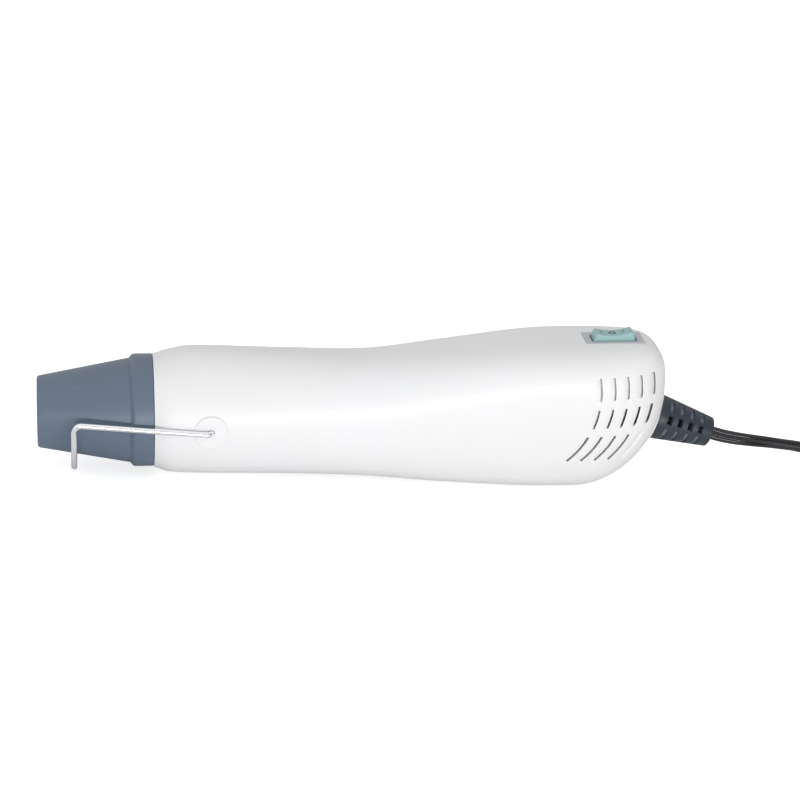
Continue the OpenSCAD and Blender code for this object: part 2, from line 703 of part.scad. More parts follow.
module fan_impeller() {
  hub_r = 5;
  color(white) place() difference() {
    union() {
      rod(fan_x, fan_x + hub_len, hub_r);
      for (i = [0:fan_blades - 1]) rotate([360 * i / fan_blades, 0, 0])
        intersection() {
          translate([fan_x + hub_len / 2, 0, fan_r / 2 + hub_r - 1]) rotate([0, 0, 40])
            cube([hub_len + 1, 1.1, fan_r], center = true);
          rod(fan_x + 0.3, fan_x + hub_len - 0.3, fan_r);
        }
    }
    rod(fan_x - 1, fan_x + hub_len + 1, shaft_r);
  }
}

module motor_shaft() {
  color(steel) place() rod(fan_x - 1, shaft_end, shaft_r);
}

module motor_can() {
  boss_r = 3.2;
  color(steel) place() difference() {
    union() {
      rod(motor_x, motor_end, motor_r);
      rod(motor_x - 2, motor_x, boss_r);
    }
    rod(motor_x + can_wall, motor_end + 1, motor_r - can_wall);
    rod(motor_x - 3, motor_x + 2, bushing_r);
  }
}

module motor_end_cap() {
  color(black) place() difference() {
    union() {
      rod(motor_end, cap_end, motor_r - 0.2);
      tube(motor_end - 1.5, motor_end, motor_r - can_wall - gap, motor_r - 2.4);
    }
    rod(motor_end - 2, cap_end + 1, bushing_r);
    for (s = [-1, 1]) block([motor_end - 2, s * 8 - 1.3, -0.4], [cap_end + 1, s * 8 + 1.3, 0.4]);
  }
}

module motor_magnets() {
  color(black) place() intersection() {
    tube(motor_x + 4, motor_end - 5, motor_r - can_wall - glue_gap, motor_r - 2.8);
    union() {
      block([motor_x, -20, 3], [motor_end, 20, 20]);
      block([motor_x, -20, -20], [motor_end, 20, -3]);
    }
  }
}

armature_r = motor_r - 3.4;
winding_half = 2.7;
winding_top = sqrt(pow(armature_r - 1.7, 2) - pow(winding_half, 2));
armature_x = motor_x + 5;
armature_end = motor_end - 7;
module motor_armature() {
  color(steel) place() difference() {
    union() {
      for (a = [0:120:240]) rotate([a, 0, 0]) {
        block([armature_x, -1.1, 0], [armature_end, 1.1, armature_r - 1.4]);
        intersection() {
          tube(armature_x, armature_end, armature_r, armature_r - 1.6);
          block([armature_x, -5.6, 0], [armature_end, 5.6, armature_r + 1]);
        }
      }
      rod(armature_x, armature_end, 2.6);
    }
    rod(armature_x - 1, armature_end + 1, shaft_r);
  }
}

module motor_windings() {
  color(copper) place() for (a = [0:120:240]) rotate([a, 0, 0]) difference() {
    block([armature_x - 1.4, -winding_half, 3.5], [armature_end + 1.4, winding_half, winding_top]);
    block([armature_x, -1.15, 3], [armature_end, 1.15, armature_r]);
  }
}

module motor_commutator() {
  color(copper) place() difference() {
    rod(armature_end + 1.8, motor_end - 2, 2.6);
    rod(armature_end, motor_end, shaft_r);
    for (a = [0:120:240]) rotate([a + 60, 0, 0])
      block([armature_end + 1, -0.2, 2], [motor_end, 0.2, 3]);
  }
}

module motor_brushes() {
  brush_x = motor_end - 3.6;
  color(copper) place() for (s = [-1, 1]) {
    block([brush_x, s > 0 ? 2.7 : -8.2, -0.3], [brush_x + 1.2, s > 0 ? 8.2 : -2.7, 0.3]);
    block([brush_x, s * 8 - 0.4, -0.3], [motor_end + 1.4, s * 8 + 0.4, 0.3]);
  }
}

module motor_bushings() {
  color(copper) place() {
    tube(motor_x - 2, motor_x + 2, bushing_r - glue_gap, shaft_r + pin_gap);
    tube(motor_end, cap_end, bushing_r - glue_gap, shaft_r + pin_gap);
  }
}

module motor_tabs() {
  color(steel) place() for (s = [-1, 1])
    block([motor_end + 1.4, s * 8 - 1.2, -0.3], [board_x + board_t + 0.8, s * 8 + 1.2, 0.3]);
}

module rectifier_board() {
  color([0.25, 0.42, 0.25]) place() difference() {
    rod(board_x, board_x + board_t, motor_r - 0.6);
    for (s = [-1, 1]) block([board_x - 1, s * 8 - 1.3, -0.4], [board_x + board_t + 1, s * 8 + 1.3, 0.4]);
  }
}

diode_places = [-7.4, -4.4, 4.4, 7.4];
module rectifier_diodes() {
  diode_r = 1.3;
  color(black) place() for (z = diode_places)
    cross_rod(board_x + board_t + diode_r, z, -2.8, 2.8, diode_r);
}

module filter_capacitor() {
  color([0.2, 0.3, 0.6]) place() translate([0, -3.9, 0]) rod(board_x + board_t, board_x + board_t + 8, 2.2);
}

module switch_housing() {
  cavity = rocker_z - 3;
  color(slate) place() difference() {
    union() {
      block([panel_x - panel_len / 2, -panel_width / 2, panel_z - panel_t],
        [panel_x + panel_len / 2, panel_width / 2, panel_z]);
      block([panel_x - housing_len / 2, -housing_half, housing_z],
        [panel_x + housing_len / 2, housing_half, panel_z - panel_t]);
    }
    block([panel_x - rocker_len / 2 - slot_gap, -rocker_width / 2 - 0.3, cavity],
      [panel_x + rocker_len / 2 + slot_gap, rocker_width / 2 + 0.3, panel_z + 1]);
    block([panel_x - 7.6, -3, housing_z + 1.6], [panel_x + 7.6, 3, cavity + 1]);
    cross_rod(panel_x, rocker_z, -housing_half - 1, housing_half + 1, rocker_pin_r + pin_gap);
    for (i = [-1:1]) block([panel_x + i * terminal_step - 0.45, -2.35, housing_z - 1],
      [panel_x + i * terminal_step + 0.45, 2.35, housing_z + 2]);
  }
}

module switch_rocker() {
  half = rocker_len / 2;
  top = half - 1;
  up = panel_z + rocker_height - rocker_z;
  rise = 1.4;
  lean = 0.3;
  steps = 12;
  dish = [for (i = [0:steps]) let (t = 1 - 2 * i / steps) [top * t, up + rise * t * t + lean * t]];
  color(mint) place() translate([panel_x, 0, rocker_z]) {
    rotate([90, 0, 0]) linear_extrude(rocker_width, center = true)
      polygon(concat([[-half + 3, -1.5], [half - 3, -1.5], [half, 0.5], [half, 1.9]], dish,
        [[-half, 1.9], [-half, 0.5]]));
    for (s = [-1, 1]) cross_rod(0, 0, s > 0 ? rocker_width / 2 - 1 : -housing_half + 0.4,
      s > 0 ? housing_half - 0.4 : 1 - rocker_width / 2, rocker_pin_r);
  }
}

module switch_plunger() {
  tip = 1.1;
  low = lever_z + gap + lever_t + 0.25 + tip;
  color(steel) place() translate([panel_x, 0, 0]) {
    translate([0, 0, low]) cylinder(h = rocker_z - 1.5 - low, r = tip);
    translate([0, 0, low]) sphere(r = tip);
  }
}

module switch_lever() {
  color(copper) place() block([panel_x - lever_len / 2, -2.2, lever_z + gap],
    [panel_x + lever_len / 2, 2.2, lever_z + gap + lever_t]);
}

module switch_terminals() {
  color(copper) place() for (i = [-1:1]) {
    x = panel_x + i * terminal_step;
    head = i == 0 ? 0.5 : 0.9;
    block([x - 0.4, -2.3, terminal_z], [x + 0.4, 2.3, housing_z + 2.4]);
    block([x - head, -1.8, housing_z + 2.4], [x + head, 1.8, i == 0 ? lever_z : lever_z - 1]);
  }
}

// Strain relief: a flange inside, a neck through the wall and a taper with grooves across it
relief_grooves = 4;
groove_first = 5.7;
groove_width = 1.9;
groove_depth = 1.1;
taper_len = relief_len - 10.5;
groove_pitch = (taper_len - 3.7) / relief_grooves;
// Radius of the taper at a distance back from the tip
function taper_r(back) = relief_tip_r + (relief_root_r - relief_tip_r) * back / taper_len;
relief_profile = concat([[0, 0], [relief_root_r + 1.6, 0], [relief_root_r + 1.6, 2.4],
  [relief_root_r, 2.4], [relief_root_r, relief_len - taper_len]],
  [for (i = [relief_grooves - 1:-1:0]) for (q = [[0.5, 0], [0.5, 1], [-0.5, 1], [-0.5, 0]])
    let (back = groove_first + i * groove_pitch + q[0] * groove_width)
      [taper_r(back) - q[1] * groove_depth, relief_len - back]],
  [[relief_tip_r, relief_len], [0, relief_len]]);
module strain_relief() {
  color(black) place() translate(relief_point(relief_len)) rotate([0, 90 + relief_slope, 0])
    rotate_extrude() polygon(relief_profile);
}

tail_in = 12;
module cord_tail() {
  color(black) place() sweep([relief_point(relief_len), relief_point(relief_len + tail_in)],
    lead_shape, [0, 0, 1]);
}

// Clamp across the lead inside the handle, on two posts of the left half
clamp_at = relief_point(relief_len + 5);
relief_normal = [sin(relief_slope), 0, cos(relief_slope)];
clamp_places = [clamp_at + 5.4 * relief_normal, clamp_at - 5.4 * relief_normal];
clamp_t = 3;
clamp_half = lead_t / 2 + 0.1;
clamp_screw_in = 5;
clamp_screw_r = 0.85;
module clamp_posts() {
  intersection() {
    half_fill(-1);
    for (p = clamp_places) cross_rod(p[0], p[2], -beyond, -clamp_half, 2.2);
  }
}

module cord_clamp() {
  color(black) place() difference() {
    translate([clamp_at[0], clamp_half + clamp_t / 2, clamp_at[2]]) rotate([0, relief_slope, 0])
      cube([4.6, clamp_t, 14.8], center = true);
    for (p = clamp_places) cross_rod(p[0], p[2], 0, 10, 1.2);
  }
}

module clamp_screws() {
  color(steel) place() for (p = clamp_places) {
    cross_rod(p[0], p[2], -clamp_half - clamp_screw_in, clamp_half + clamp_t, clamp_screw_r);
    cross_rod(p[0], p[2], clamp_half + clamp_t, clamp_half + clamp_t + 1.4, 1.9);
  }
}

// Wires inside: from the lead to the switch, from the switch to the board, and along the
// channel under the fan duct to the thermal cut-out. Each starts and ends square to what it meets.
core_d = 1.4;
tail_end = relief_point(relief_len + tail_in);
core_step = 1.4;
channel_z = -duct_r - 1.5;
cutout_under = -3.6;
function to_heater(y) = [[board_x + 3, y, -17.5], [motor_end + 1, y, channel_z + 1],
  [motor_end - 6, y, channel_z], [duct_x + 14, y, channel_z], [holder_end + 4, y, channel_z],
  [holder_end + 1.5, y, channel_z + 1], [holder_end + 1, y, channel_z + 4], [holder_end + 1, y, -13],
  [holder_end + 0.6, y, -10.6], [holder_end - 0.1, y, -8], [holder_end - 0.1, y, cutout_under]];
wire_runs = [
  [tail_end + core_step * relief_normal, tail_end + core_step * relief_normal - 2 * relief_dir,
    [panel_x - 8, -1, 4], [panel_x - terminal_step, 0, terminal_z - 2],
    [panel_x - terminal_step, 0, terminal_z]],
  concat([tail_end - core_step * relief_normal, tail_end - core_step * relief_normal - 2 * relief_dir,
    [heel_x + 4, 0.8, -4], [heel_x - 4, 1.4, -10], [board_x + 14, 1.4, -15]], to_heater(1.4)),
  concat([[panel_x + terminal_step, 0, terminal_z], [panel_x + terminal_step, 0, terminal_z - 0.8],
    [panel_x + 3.6, 2.6, terminal_z - 1.6], [panel_x - 1, 5, 4.4], [panel_x - 8, 8, 1],
    [heel_x + 4, 7, -6], [heel_x - 6, 2, -11], [board_x + 14, -1.4, -15]], to_heater(-1.4)),
  [[panel_x, 0, terminal_z], [panel_x, 0, terminal_z - 1.4], [panel_x - 5, 3, 4.6],
    [panel_x - 14, 4, 6], [heel_x, 3, 10], [board_x + 18, 1.5, 10], [board_x + 6, 0, 9.6],
    [board_x + board_t, 0, 9.6]]
];
module lead_wires() {
  color(black) place() for (w = wire_runs) sweep(w, oval(core_d, core_d, 6, 0), [0.2, 1, 0.3]);
}

module power_cord() {
  color(black) sweep(concat(cord_line, [coil_line[0]]), lead_shape, [0, 0, 1]);
}

module cord_coil() {
  color(black) sweep(coil_line, coil_shape, [0, 0, 1]);
}

plug_back = plug_at[0] - plug_relief_len;
module plug_body() {
  shoulder = 5;
  r = 5;
  neck_r = 4;
  color(black) {
    sweep([coil_line[len(coil_line) - 1], plug_at], lead_shape, [0, 0, 1]);
    translate(plug_at) rotate([0, -90, 0]) cylinder(h = plug_relief_len, r1 = neck_r - 0.6, r2 = neck_r + 1);
    hull() {
      translate([plug_back - shoulder, plug_at[1], plug_at[2]]) rotate([0, 90, 0])
        cylinder(h = shoulder, r = neck_r + 2, $fn = 32);
      for (s = [-1, 1]) translate([plug_back - plug_len, plug_at[1] + s * (plug_width / 2 - r), plug_at[2]])
        rotate([0, 90, 0]) cylinder(h = plug_len - 2 * shoulder, r = r, $fn = 32);
      for (s = [-1, 1]) for (u = [-1, 1]) translate([plug_back - plug_len,
        plug_at[1] + s * (plug_width / 2 - r), plug_at[2] + u * (plug_t / 2 - r)])
        rotate([0, 90, 0]) cylinder(h = plug_len - 3 * shoulder, r = r, $fn = 32);
    }
  }
}

module plug_blades() {
  blade_gap = 12.7;
  blade_h = 6.3;
  blade_t = 1.5;
  front = plug_back - plug_len;
  color(steel) for (s = [-1, 1]) difference() {
    block([front - blade_len, plug_at[1] + s * blade_gap / 2 - blade_t / 2, plug_at[2] - blade_h / 2],
      [front, plug_at[1] + s * blade_gap / 2 + blade_t / 2, plug_at[2] + blade_h / 2]);
    translate([front - blade_len + 4, plug_at[1] + s * blade_gap / 2 - 2, plug_at[2]])
      rotate([-90, 0, 0]) cylinder(h = 4, r = 1.6);
  }
}

left_shell();
right_shell();
shell_screws();
nozzle_cone();
nozzle_collar();
wire_stand();
heat_shield();
mica_sleeve();
mica_plate_upright();
mica_plate_flat();
mica_spiders();
heating_wire();
thermal_cutout();
cutout_strip();
element_holder();
fan_duct();
fan_impeller();
motor_shaft();
motor_can();
motor_end_cap();
motor_magnets();
motor_armature();
motor_windings();
motor_commutator();
motor_brushes();
motor_bushings();
motor_tabs();
rectifier_board();
rectifier_diodes();
filter_capacitor();
switch_housing();
switch_rocker();
switch_plunger();
switch_lever();
switch_terminals();
strain_relief();
cord_tail();
cord_clamp();
clamp_screws();
lead_wires();
power_cord();
cord_coil();
plug_body();
plug_blades();
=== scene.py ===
"""Looks of the embossing heat tool: body halves, nozzle, wire stand, switch, strain relief and lead."""
import json
import math

import bpy
import numpy as np
from mathutils import Matrix, Vector


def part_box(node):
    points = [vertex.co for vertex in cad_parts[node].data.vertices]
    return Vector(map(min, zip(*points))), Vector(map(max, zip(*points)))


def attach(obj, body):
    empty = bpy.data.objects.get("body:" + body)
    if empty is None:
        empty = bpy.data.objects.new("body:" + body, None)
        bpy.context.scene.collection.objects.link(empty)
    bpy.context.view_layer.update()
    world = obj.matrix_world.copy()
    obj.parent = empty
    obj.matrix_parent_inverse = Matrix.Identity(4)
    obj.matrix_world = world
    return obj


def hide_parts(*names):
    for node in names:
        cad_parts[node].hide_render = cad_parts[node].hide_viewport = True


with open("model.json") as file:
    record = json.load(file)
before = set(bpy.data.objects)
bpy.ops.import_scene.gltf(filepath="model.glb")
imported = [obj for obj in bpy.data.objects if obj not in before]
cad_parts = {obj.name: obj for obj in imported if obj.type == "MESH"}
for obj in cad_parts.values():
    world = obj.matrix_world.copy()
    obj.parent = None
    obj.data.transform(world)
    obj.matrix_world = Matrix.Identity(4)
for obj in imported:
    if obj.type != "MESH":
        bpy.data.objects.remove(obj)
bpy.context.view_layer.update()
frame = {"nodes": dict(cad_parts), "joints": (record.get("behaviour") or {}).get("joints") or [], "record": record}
MM = 0.001
JOINTS = {joint["name"]: joint for joint in frame["joints"]}

# The tool's own frame, in millimetres: x from the air outlet along the fan's axis, z up,
# and the stand's pivot 67.2 mm behind the outlet on that axis
PIVOT_X = 67.2
AXIS = np.array(JOINTS["fan_spin"]["axis"], float)
AXIS /= np.linalg.norm(AXIS)
ACROSS = np.array([0.0, 1.0, 0.0])
UP = np.array([-AXIS[2], 0.0, AXIS[0]])
TO_FRAME = np.stack([AXIS, ACROSS, UP])
ORIGIN = np.array(JOINTS["stand_fold"]["pos_m"], float) - PIVOT_X * MM * AXIS


def placed(points):
    """Points of the tool's frame in millimetres, as points of the shared frame in metres."""
    return ORIGIN + MM * (np.asarray(points, float) @ TO_FRAME)


# Driving sizes in millimetres
CONE_LEN = 36.2
BODY_X = 45.3
SHELL_X = BODY_X + 0.2
END_X = 250.3
HEEL_X = END_X - 44
BULGE_X = BODY_X + 15.1
WAIST_X = BULGE_X + (HEEL_X - BULGE_X) * 0.48
WALL = 2.0
HEEL_MID = 7.8
BARREL_R = 25.4
PANEL_X, PANEL_Z = END_X - 21.1, 27.6
PANEL_LEN, PANEL_WIDTH, PANEL_T = 24.0, 12.8, 1.6
ROCKER_LEN, ROCKER_WIDTH, ROCKER_HEIGHT = 17.0, 7.0, 2.1
ROCKER_AT = np.array([PANEL_X, 0.0, PANEL_Z - 2.1])
WIRE_R = 1.15
PAD_Y = BARREL_R + 0.4
LEAD_W, LEAD_T = 5.6, 2.8
RELIEF_SLOPE = math.radians(18.3)
RELIEF_LEN, RELIEF_ROOT, RELIEF_TIP = 33.0, 9.2, 6.1
TAPER_LEN = RELIEF_LEN - 10.5
FLANGE_R, FLANGE_T = 10.8, 2.4
RELIEF_AT = np.array([END_X + 20.8, 0.0, -14.0])
RELIEF_DIR = np.array([math.cos(RELIEF_SLOPE), 0.0, -math.sin(RELIEF_SLOPE)])
RELIEF_UP = np.array([math.sin(RELIEF_SLOPE), 0.0, math.cos(RELIEF_SLOPE)])
RELIEF_BACK = RELIEF_AT - RELIEF_LEN * RELIEF_DIR

# Camera: the photograph's view of the tool, worked out from its outline
VIEW_AZ, VIEW_EL, VIEW_ROLL = math.radians(7.5), math.radians(22.0), math.radians(1.85)
VIEW_FOCAL = 2755.0
VIEW_DISTANCE = 1102.0
VIEW_TARGET = (144.0, 0.0, 2.2)
IMAGE_SIZE = 800.0
SENSOR = 36.0


def unit(vectors):
    """Vectors of the same directions, each one long."""
    return vectors / np.linalg.norm(vectors, axis=-1, keepdims=True)


def link(thing):
    """Puts an object into the scene."""
    bpy.context.scene.collection.objects.link(thing)
    return thing


def add_camera():
    """Looks at the target from the distance, turned by azimuth, elevation and roll."""
    look = np.array([math.sin(VIEW_AZ) * math.cos(VIEW_EL), math.cos(VIEW_AZ) * math.cos(VIEW_EL),
                     -math.sin(VIEW_EL)])
    right = unit(np.cross(look, (0, 0, 1)))
    up = np.cross(right, look)
    c, s = math.cos(VIEW_ROLL), math.sin(VIEW_ROLL)
    right, up = c * right + s * up, c * up - s * right
    columns = np.stack([right @ TO_FRAME, up @ TO_FRAME, -look @ TO_FRAME], axis=1)
    place = Vector(placed(np.array(VIEW_TARGET) - VIEW_DISTANCE * look))
    data = bpy.data.cameras.new("camera")
    data.sensor_width = SENSOR
    data.lens = VIEW_FOCAL * SENSOR / IMAGE_SIZE
    data.clip_start = 0.05
    data.clip_end = 20
    camera = link(bpy.data.objects.new("camera", data))
    camera.matrix_world = Matrix.Translation(place) @ Matrix(columns.tolist()).to_4x4()
    bpy.context.scene.camera = camera


add_camera()


# Faces of grids. A shape is its points with its faces, in millimetres of the tool's frame
def quads(rows, cols, loop=False):
    """Faces of a grid of rows by cols points, whose columns join up into a ring if loop is set."""
    i, j = np.meshgrid(np.arange(rows - 1), np.arange(cols if loop else cols - 1), indexing="ij")
    k = (j + 1) % cols
    faces = np.stack([i * cols + j, i * cols + k, (i + 1) * cols + k, (i + 1) * cols + j], -1)
    return faces.reshape(-1, 4).tolist()


def tube(rows, cols):
    """Faces of rings of cols points in a row, with both ends closed."""
    last = (rows - 1) * cols
    return quads(rows, cols, loop=True) + [list(range(cols))[::-1], list(range(last, last + cols))]


def ring_tube(rows, cols):
    """Faces of rings of cols points, of which the last joins the first."""
    last, j = (rows - 1) * cols, np.arange(cols)
    k = (j + 1) % cols
    return quads(rows, cols, loop=True) + np.stack([last + j, last + k, k, j], -1).tolist()


def flipped(faces):
    """The same faces, seen from the other side."""
    return [face[::-1] for face in faces]


def outward(points, faces):
    """Turns a closed shape's faces outwards, by the sign of its volume, which is the sum of
    a . (b x c) over the triangles of its faces."""
    points = np.asarray(points, float).reshape(-1, 3)
    corners = np.array([(f[0], p, q) for f in faces for p, q in zip(f[1:], f[2:])])
    a, b, c = points[corners].transpose(1, 0, 2)
    return points, faces if (a * np.cross(b, c)).sum() > 0 else flipped(faces)


def joined(shapes):
    """Several closed shapes as one, each turned outwards."""
    points, faces, start = [], [], 0
    for shape in shapes:
        own_points, own_faces = outward(*shape)
        points.append(own_points)
        faces += [[i + start for i in face] for face in own_faces]
        start += len(own_points)
    return np.vstack(points), faces


# Lines, outlines and plain shapes
def smoothstep(v):
    """3 v^2 - 2 v^3, level below 0 and above 1."""
    v = np.clip(v, 0, 1)
    return v * v * (3 - 2 * v)


def circle(radius, steps):
    """Points (radius cos t, radius sin t) round a circle."""
    t = np.linspace(0, 2 * math.pi, steps, endpoint=False)
    return radius * np.stack([np.cos(t), np.sin(t)], -1)


def rounded(corners, radii, steps=5):
    """A closed outline with each corner replaced by an arc of its radius."""
    corners = np.asarray(corners, float)
    s = np.linspace(0, 1, steps + 1)[:, None]
    out = []
    for i, (p, r) in enumerate(zip(corners, radii)):
        a = unit(corners[i - 1] - p)
        b = unit(corners[(i + 1) % len(corners)] - p)
        half = math.acos(np.clip(a @ b, -1, 1)) / 2
        if r <= 0 or half > math.pi / 2 - 0.01:
            out.append(p[None])
            continue
        centre = p + unit(a + b) * r / math.sin(half)
        u = p + a * r / math.tan(half) - centre
        v = p + b * r / math.tan(half) - centre
        sweep = math.acos(np.clip(u @ v / (r * r), -1, 1))
        out.append(centre + (np.sin((1 - s) * sweep) * u + np.sin(s * sweep) * v) / math.sin(sweep))
    return np.vstack(out)


def rounded_box(half_x, half_y, radius, steps=5):
    """A rectangle round the origin with its four corners rounded."""
    return rounded([(-half_x, -half_y), (half_x, -half_y), (half_x, half_y), (-half_x, half_y)],
                   (radius,) * 4, steps)


def smooth_line(points, step):
    """Points about step apart on a Catmull-Rom curve through the given ones."""
    p = np.asarray(points, float)
    p = np.vstack([2 * p[0] - p[1], p, 2 * p[-1] - p[-2]])
    out = []
    for a, b, c, d in zip(p[:-3], p[1:-2], p[2:-1], p[3:]):
        n = max(1, round(np.linalg.norm(c - b) / step))
        t = (np.arange(n) / n)[:, None]
        out.append(0.5 * (2 * b + (c - a) * t + (2 * a - 5 * b + 4 * c - d) * t ** 2
                          + (3 * b - a - 3 * c + d) * t ** 3))
    return np.vstack(out + [p[-2:-1]])


def bent_line(corners, radii, step):
    """A wire bent at its corners: straight runs joined by arcs of the given radii, whose points
    are centre + r * (cos t * x + sin t * a), a being the way the wire comes in."""
    corners = np.asarray(corners, float)
    ways = unit(np.diff(corners, axis=0))
    out = [corners[:1]]
    for corner, a, b, r in zip(corners[1:], ways, ways[1:], radii):
        angle = math.acos(np.clip(a @ b, -1, 1))
        centre = corner + unit(b - a) * r / math.cos(angle / 2)
        x = (corner - r * math.tan(angle / 2) * a - centre) / r
        t = np.linspace(0, angle, max(6, round(r * angle / step)) + 1)[:, None]
        out.append(centre + r * (np.cos(t) * x + np.sin(t) * a))
    return np.vstack(out + [corners[-1:]])


def bent_wire(corners, step=0.4, largest=4.0):
    """A wire through corners, each rounded as far as its shorter side allows."""
    p = np.asarray(corners, float)
    d = np.diff(p, axis=0)
    size = np.linalg.norm(d, axis=1)
    cosine = np.clip((d[:-1] * d[1:]).sum(1) / (size[:-1] * size[1:]), -1, 1)
    half = np.tan(np.arccos(cosine) / 2)
    radii = np.minimum(largest, 0.45 * np.minimum(size[:-1], size[1:]) / np.maximum(half, 1e-3))
    bends = half >= 0.02
    return bent_line(p[np.concatenate([[True], bends, [True]])], radii[bends], step)


def filled(line, gap=4.0, step=2.0):
    """A line with points step apart put into its long runs, and doubled points left out."""
    line = line[np.append(True, np.linalg.norm(np.diff(line, axis=0), axis=1) > 1e-6)]
    size = np.linalg.norm(np.diff(line, axis=0), axis=1)
    counts = np.where(size > gap, size / step, 1).astype(int)
    runs = [a + (b - a) * (np.arange(n) / n)[:, None] for a, b, n in zip(line, line[1:], counts)]
    return np.vstack(runs + [line[-1:]])


def carried(path, section, up, lean=0.0):
    """A section carried along a path: point = path + s * side + t * top, where side is square to
    the path and to up, top is square to both, and lean turns the section about the path."""
    ahead = unit(np.gradient(path, axis=0))
    side = unit(np.cross(ahead, up))
    top = np.cross(side, ahead)
    lean = np.broadcast_to(lean, len(path))[:, None]
    side, top = np.cos(lean) * side + np.sin(lean) * top, np.cos(lean) * top - np.sin(lean) * side
    points = path[:, None] + section[:, :1] * side[:, None] + section[:, 1:] * top[:, None]
    return points, tube(len(path), len(section))


def turn(profile, centre, axis, side, steps=96, closed=True):
    """A profile of (radius, distance along the axis) turned round an axis through centre.
    Point = centre + along * axis + radius * (cos t * side + sin t * (axis x side))."""
    profile = np.asarray(profile, float)
    spoke = circle(1, steps) @ np.stack([side, np.cross(axis, side)])
    points = (np.asarray(centre, float) + profile[:, 1, None, None] * np.asarray(axis, float)
              + profile[:, 0, None, None] * spoke)
    return points, (ring_tube if closed else tube)(len(profile), steps)


def rod(start, axis, length, radius, steps=48):
    """A cylinder from start along axis."""
    side = unit(np.cross(axis, (1.0, 0.0, 0.0) if axis[1] else (0.0, 1.0, 0.0)))
    return turn([(radius, 0), (radius, length)], start, axis, side, steps, closed=False)


def box(low, high):
    """A box between two corners."""
    x, y, z = zip(low, high)
    points = [(x[i], y[j], z[k]) for i in (0, 1) for j in (0, 1) for k in (0, 1)]
    faces = [(0, 1, 3, 2), (4, 6, 7, 5), (0, 4, 5, 1), (2, 3, 7, 6), (0, 2, 6, 4), (1, 5, 7, 3)]
    return np.array(points), faces


# Pieces
def mesh_object(name, points, faces):
    """An object with a mesh of the given points, in metres."""
    mesh = bpy.data.meshes.new(name)
    mesh.from_pydata(np.asarray(points, float).reshape(-1, 3).tolist(), [], [list(f) for f in faces])
    mesh.validate()
    return link(bpy.data.objects.new(name, mesh))


def shade(mesh, smooth):
    """Shaded smooth where faces meet at less than the angle."""
    mesh.shade_smooth()
    mesh.set_sharp_from_angle(angle=math.radians(smooth))


def new_piece(name, shape, body, slot, nodes=(), smooth=38.0, finish=None):
    """A piece of the model, in metres of the shared frame, that rides on a body and takes the
    place of CAD nodes. Its finish is its slot's own, unless another is named."""
    piece = mesh_object(name, *shape)
    shade(piece.data, smooth)
    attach(piece, body)
    piece.data.materials.append(MATERIALS[finish or slot])
    if nodes:
        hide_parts(*nodes)
    return piece


def new_solid(name, shapes, *settings, **more):
    """A piece of closed shapes, given in the tool's frame."""
    points, faces = joined(shapes)
    return new_piece(name, (placed(points), faces), *settings, **more)


def apply_modifiers(piece, smooth=38.0):
    """Replaces the piece's mesh with what its modifiers make of it."""
    got = piece.evaluated_get(bpy.context.evaluated_depsgraph_get())
    mesh = bpy.data.meshes.new_from_object(got)
    piece.modifiers.clear()
    old = piece.data
    piece.data = mesh
    bpy.data.meshes.remove(old)
    shade(mesh, smooth)


def cut(piece, shapes):
    """Takes closed shapes, given in the tool's frame, out of the piece."""
    points, faces = joined(shapes)
    cutter = mesh_object("cutter", placed(points), faces)
    change = piece.modifiers.new("cut", "BOOLEAN")
    change.operation = "DIFFERENCE"
    change.solver = "EXACT"
    change.object = cutter
    apply_modifiers(piece)
    bpy.data.objects.remove(cutter)


def bevel(piece, width, segments, angle, smooth=38.0):
    """Rounds the edges that are sharper than the angle."""
    change = piece.modifiers.new("edge", "BEVEL")
    change.width = width * MM
    change.segments = segments
    change.limit_method = "ANGLE"
    change.angle_limit = math.radians(angle)
    apply_modifiers(piece, smooth)


# Shader nodes
def feed(tree, socket, value):
    """Links a socket to an output, or sets it to a value, or leaves it as it is."""
    if isinstance(value, bpy.types.NodeSocket):
        tree.links.new(value, socket)
    elif value is not None:
        socket.default_value = value


def add_node(tree, kind, inputs, **settings):
    """A shader node with its settings, and its inputs fed by label or number."""
    node = tree.nodes.new("ShaderNode" + kind)
    for label, value in settings.items():
        setattr(node, label, value)
    for label, value in inputs.items():
        feed(tree, node.inputs[label], value)
    return node


def noise(tree, vector, scale, detail=3.0, roughness=0.5):
    """A noise texture on a vector."""
    sockets = {"Vector": vector, "Scale": scale, "Detail": detail, "Roughness": roughness}
    return add_node(tree, "TexNoise", sockets).outputs["Fac"]


def maths(tree, operation, a, b, clamp=False):
    """A sum, product or the like of two sockets or numbers."""
    return add_node(tree, "Math", {0: a, 1: b}, operation=operation, use_clamp=clamp).outputs[0]


def remap(tree, value, low, high, to_low=0, to_high=1):
    """A value between low and high, moved to between two others."""
    sockets = {"Value": value, "From Min": low, "From Max": high, "To Min": to_low, "To Max": to_high}
    return add_node(tree, "MapRange", sockets).outputs["Result"]


def stretched(tree, vector, scale, turned=(0.0, 0.0, 0.0)):
    """A vector scaled along its axes, and turned."""
    sockets = {"Vector": vector, "Rotation": turned, "Scale": scale}
    return add_node(tree, "Mapping", sockets).outputs["Vector"]


def group_with(name, numbers, outputs):
    """A node group that takes a vector and numbers, with their first values, and puts out floats."""
    tree = bpy.data.node_groups.new(name, "ShaderNodeTree")
    tree.interface.new_socket("Vector", in_out="INPUT", socket_type="NodeSocketVector")
    for label, value in numbers.items():
        socket = tree.interface.new_socket(label, in_out="INPUT", socket_type="NodeSocketFloat")
        socket.default_value = value
    for label in outputs:
        tree.interface.new_socket(label, in_out="OUTPUT", socket_type="NodeSocketFloat")
    return tree, tree.nodes.new("NodeGroupInput").outputs, tree.nodes.new("NodeGroupOutput").inputs


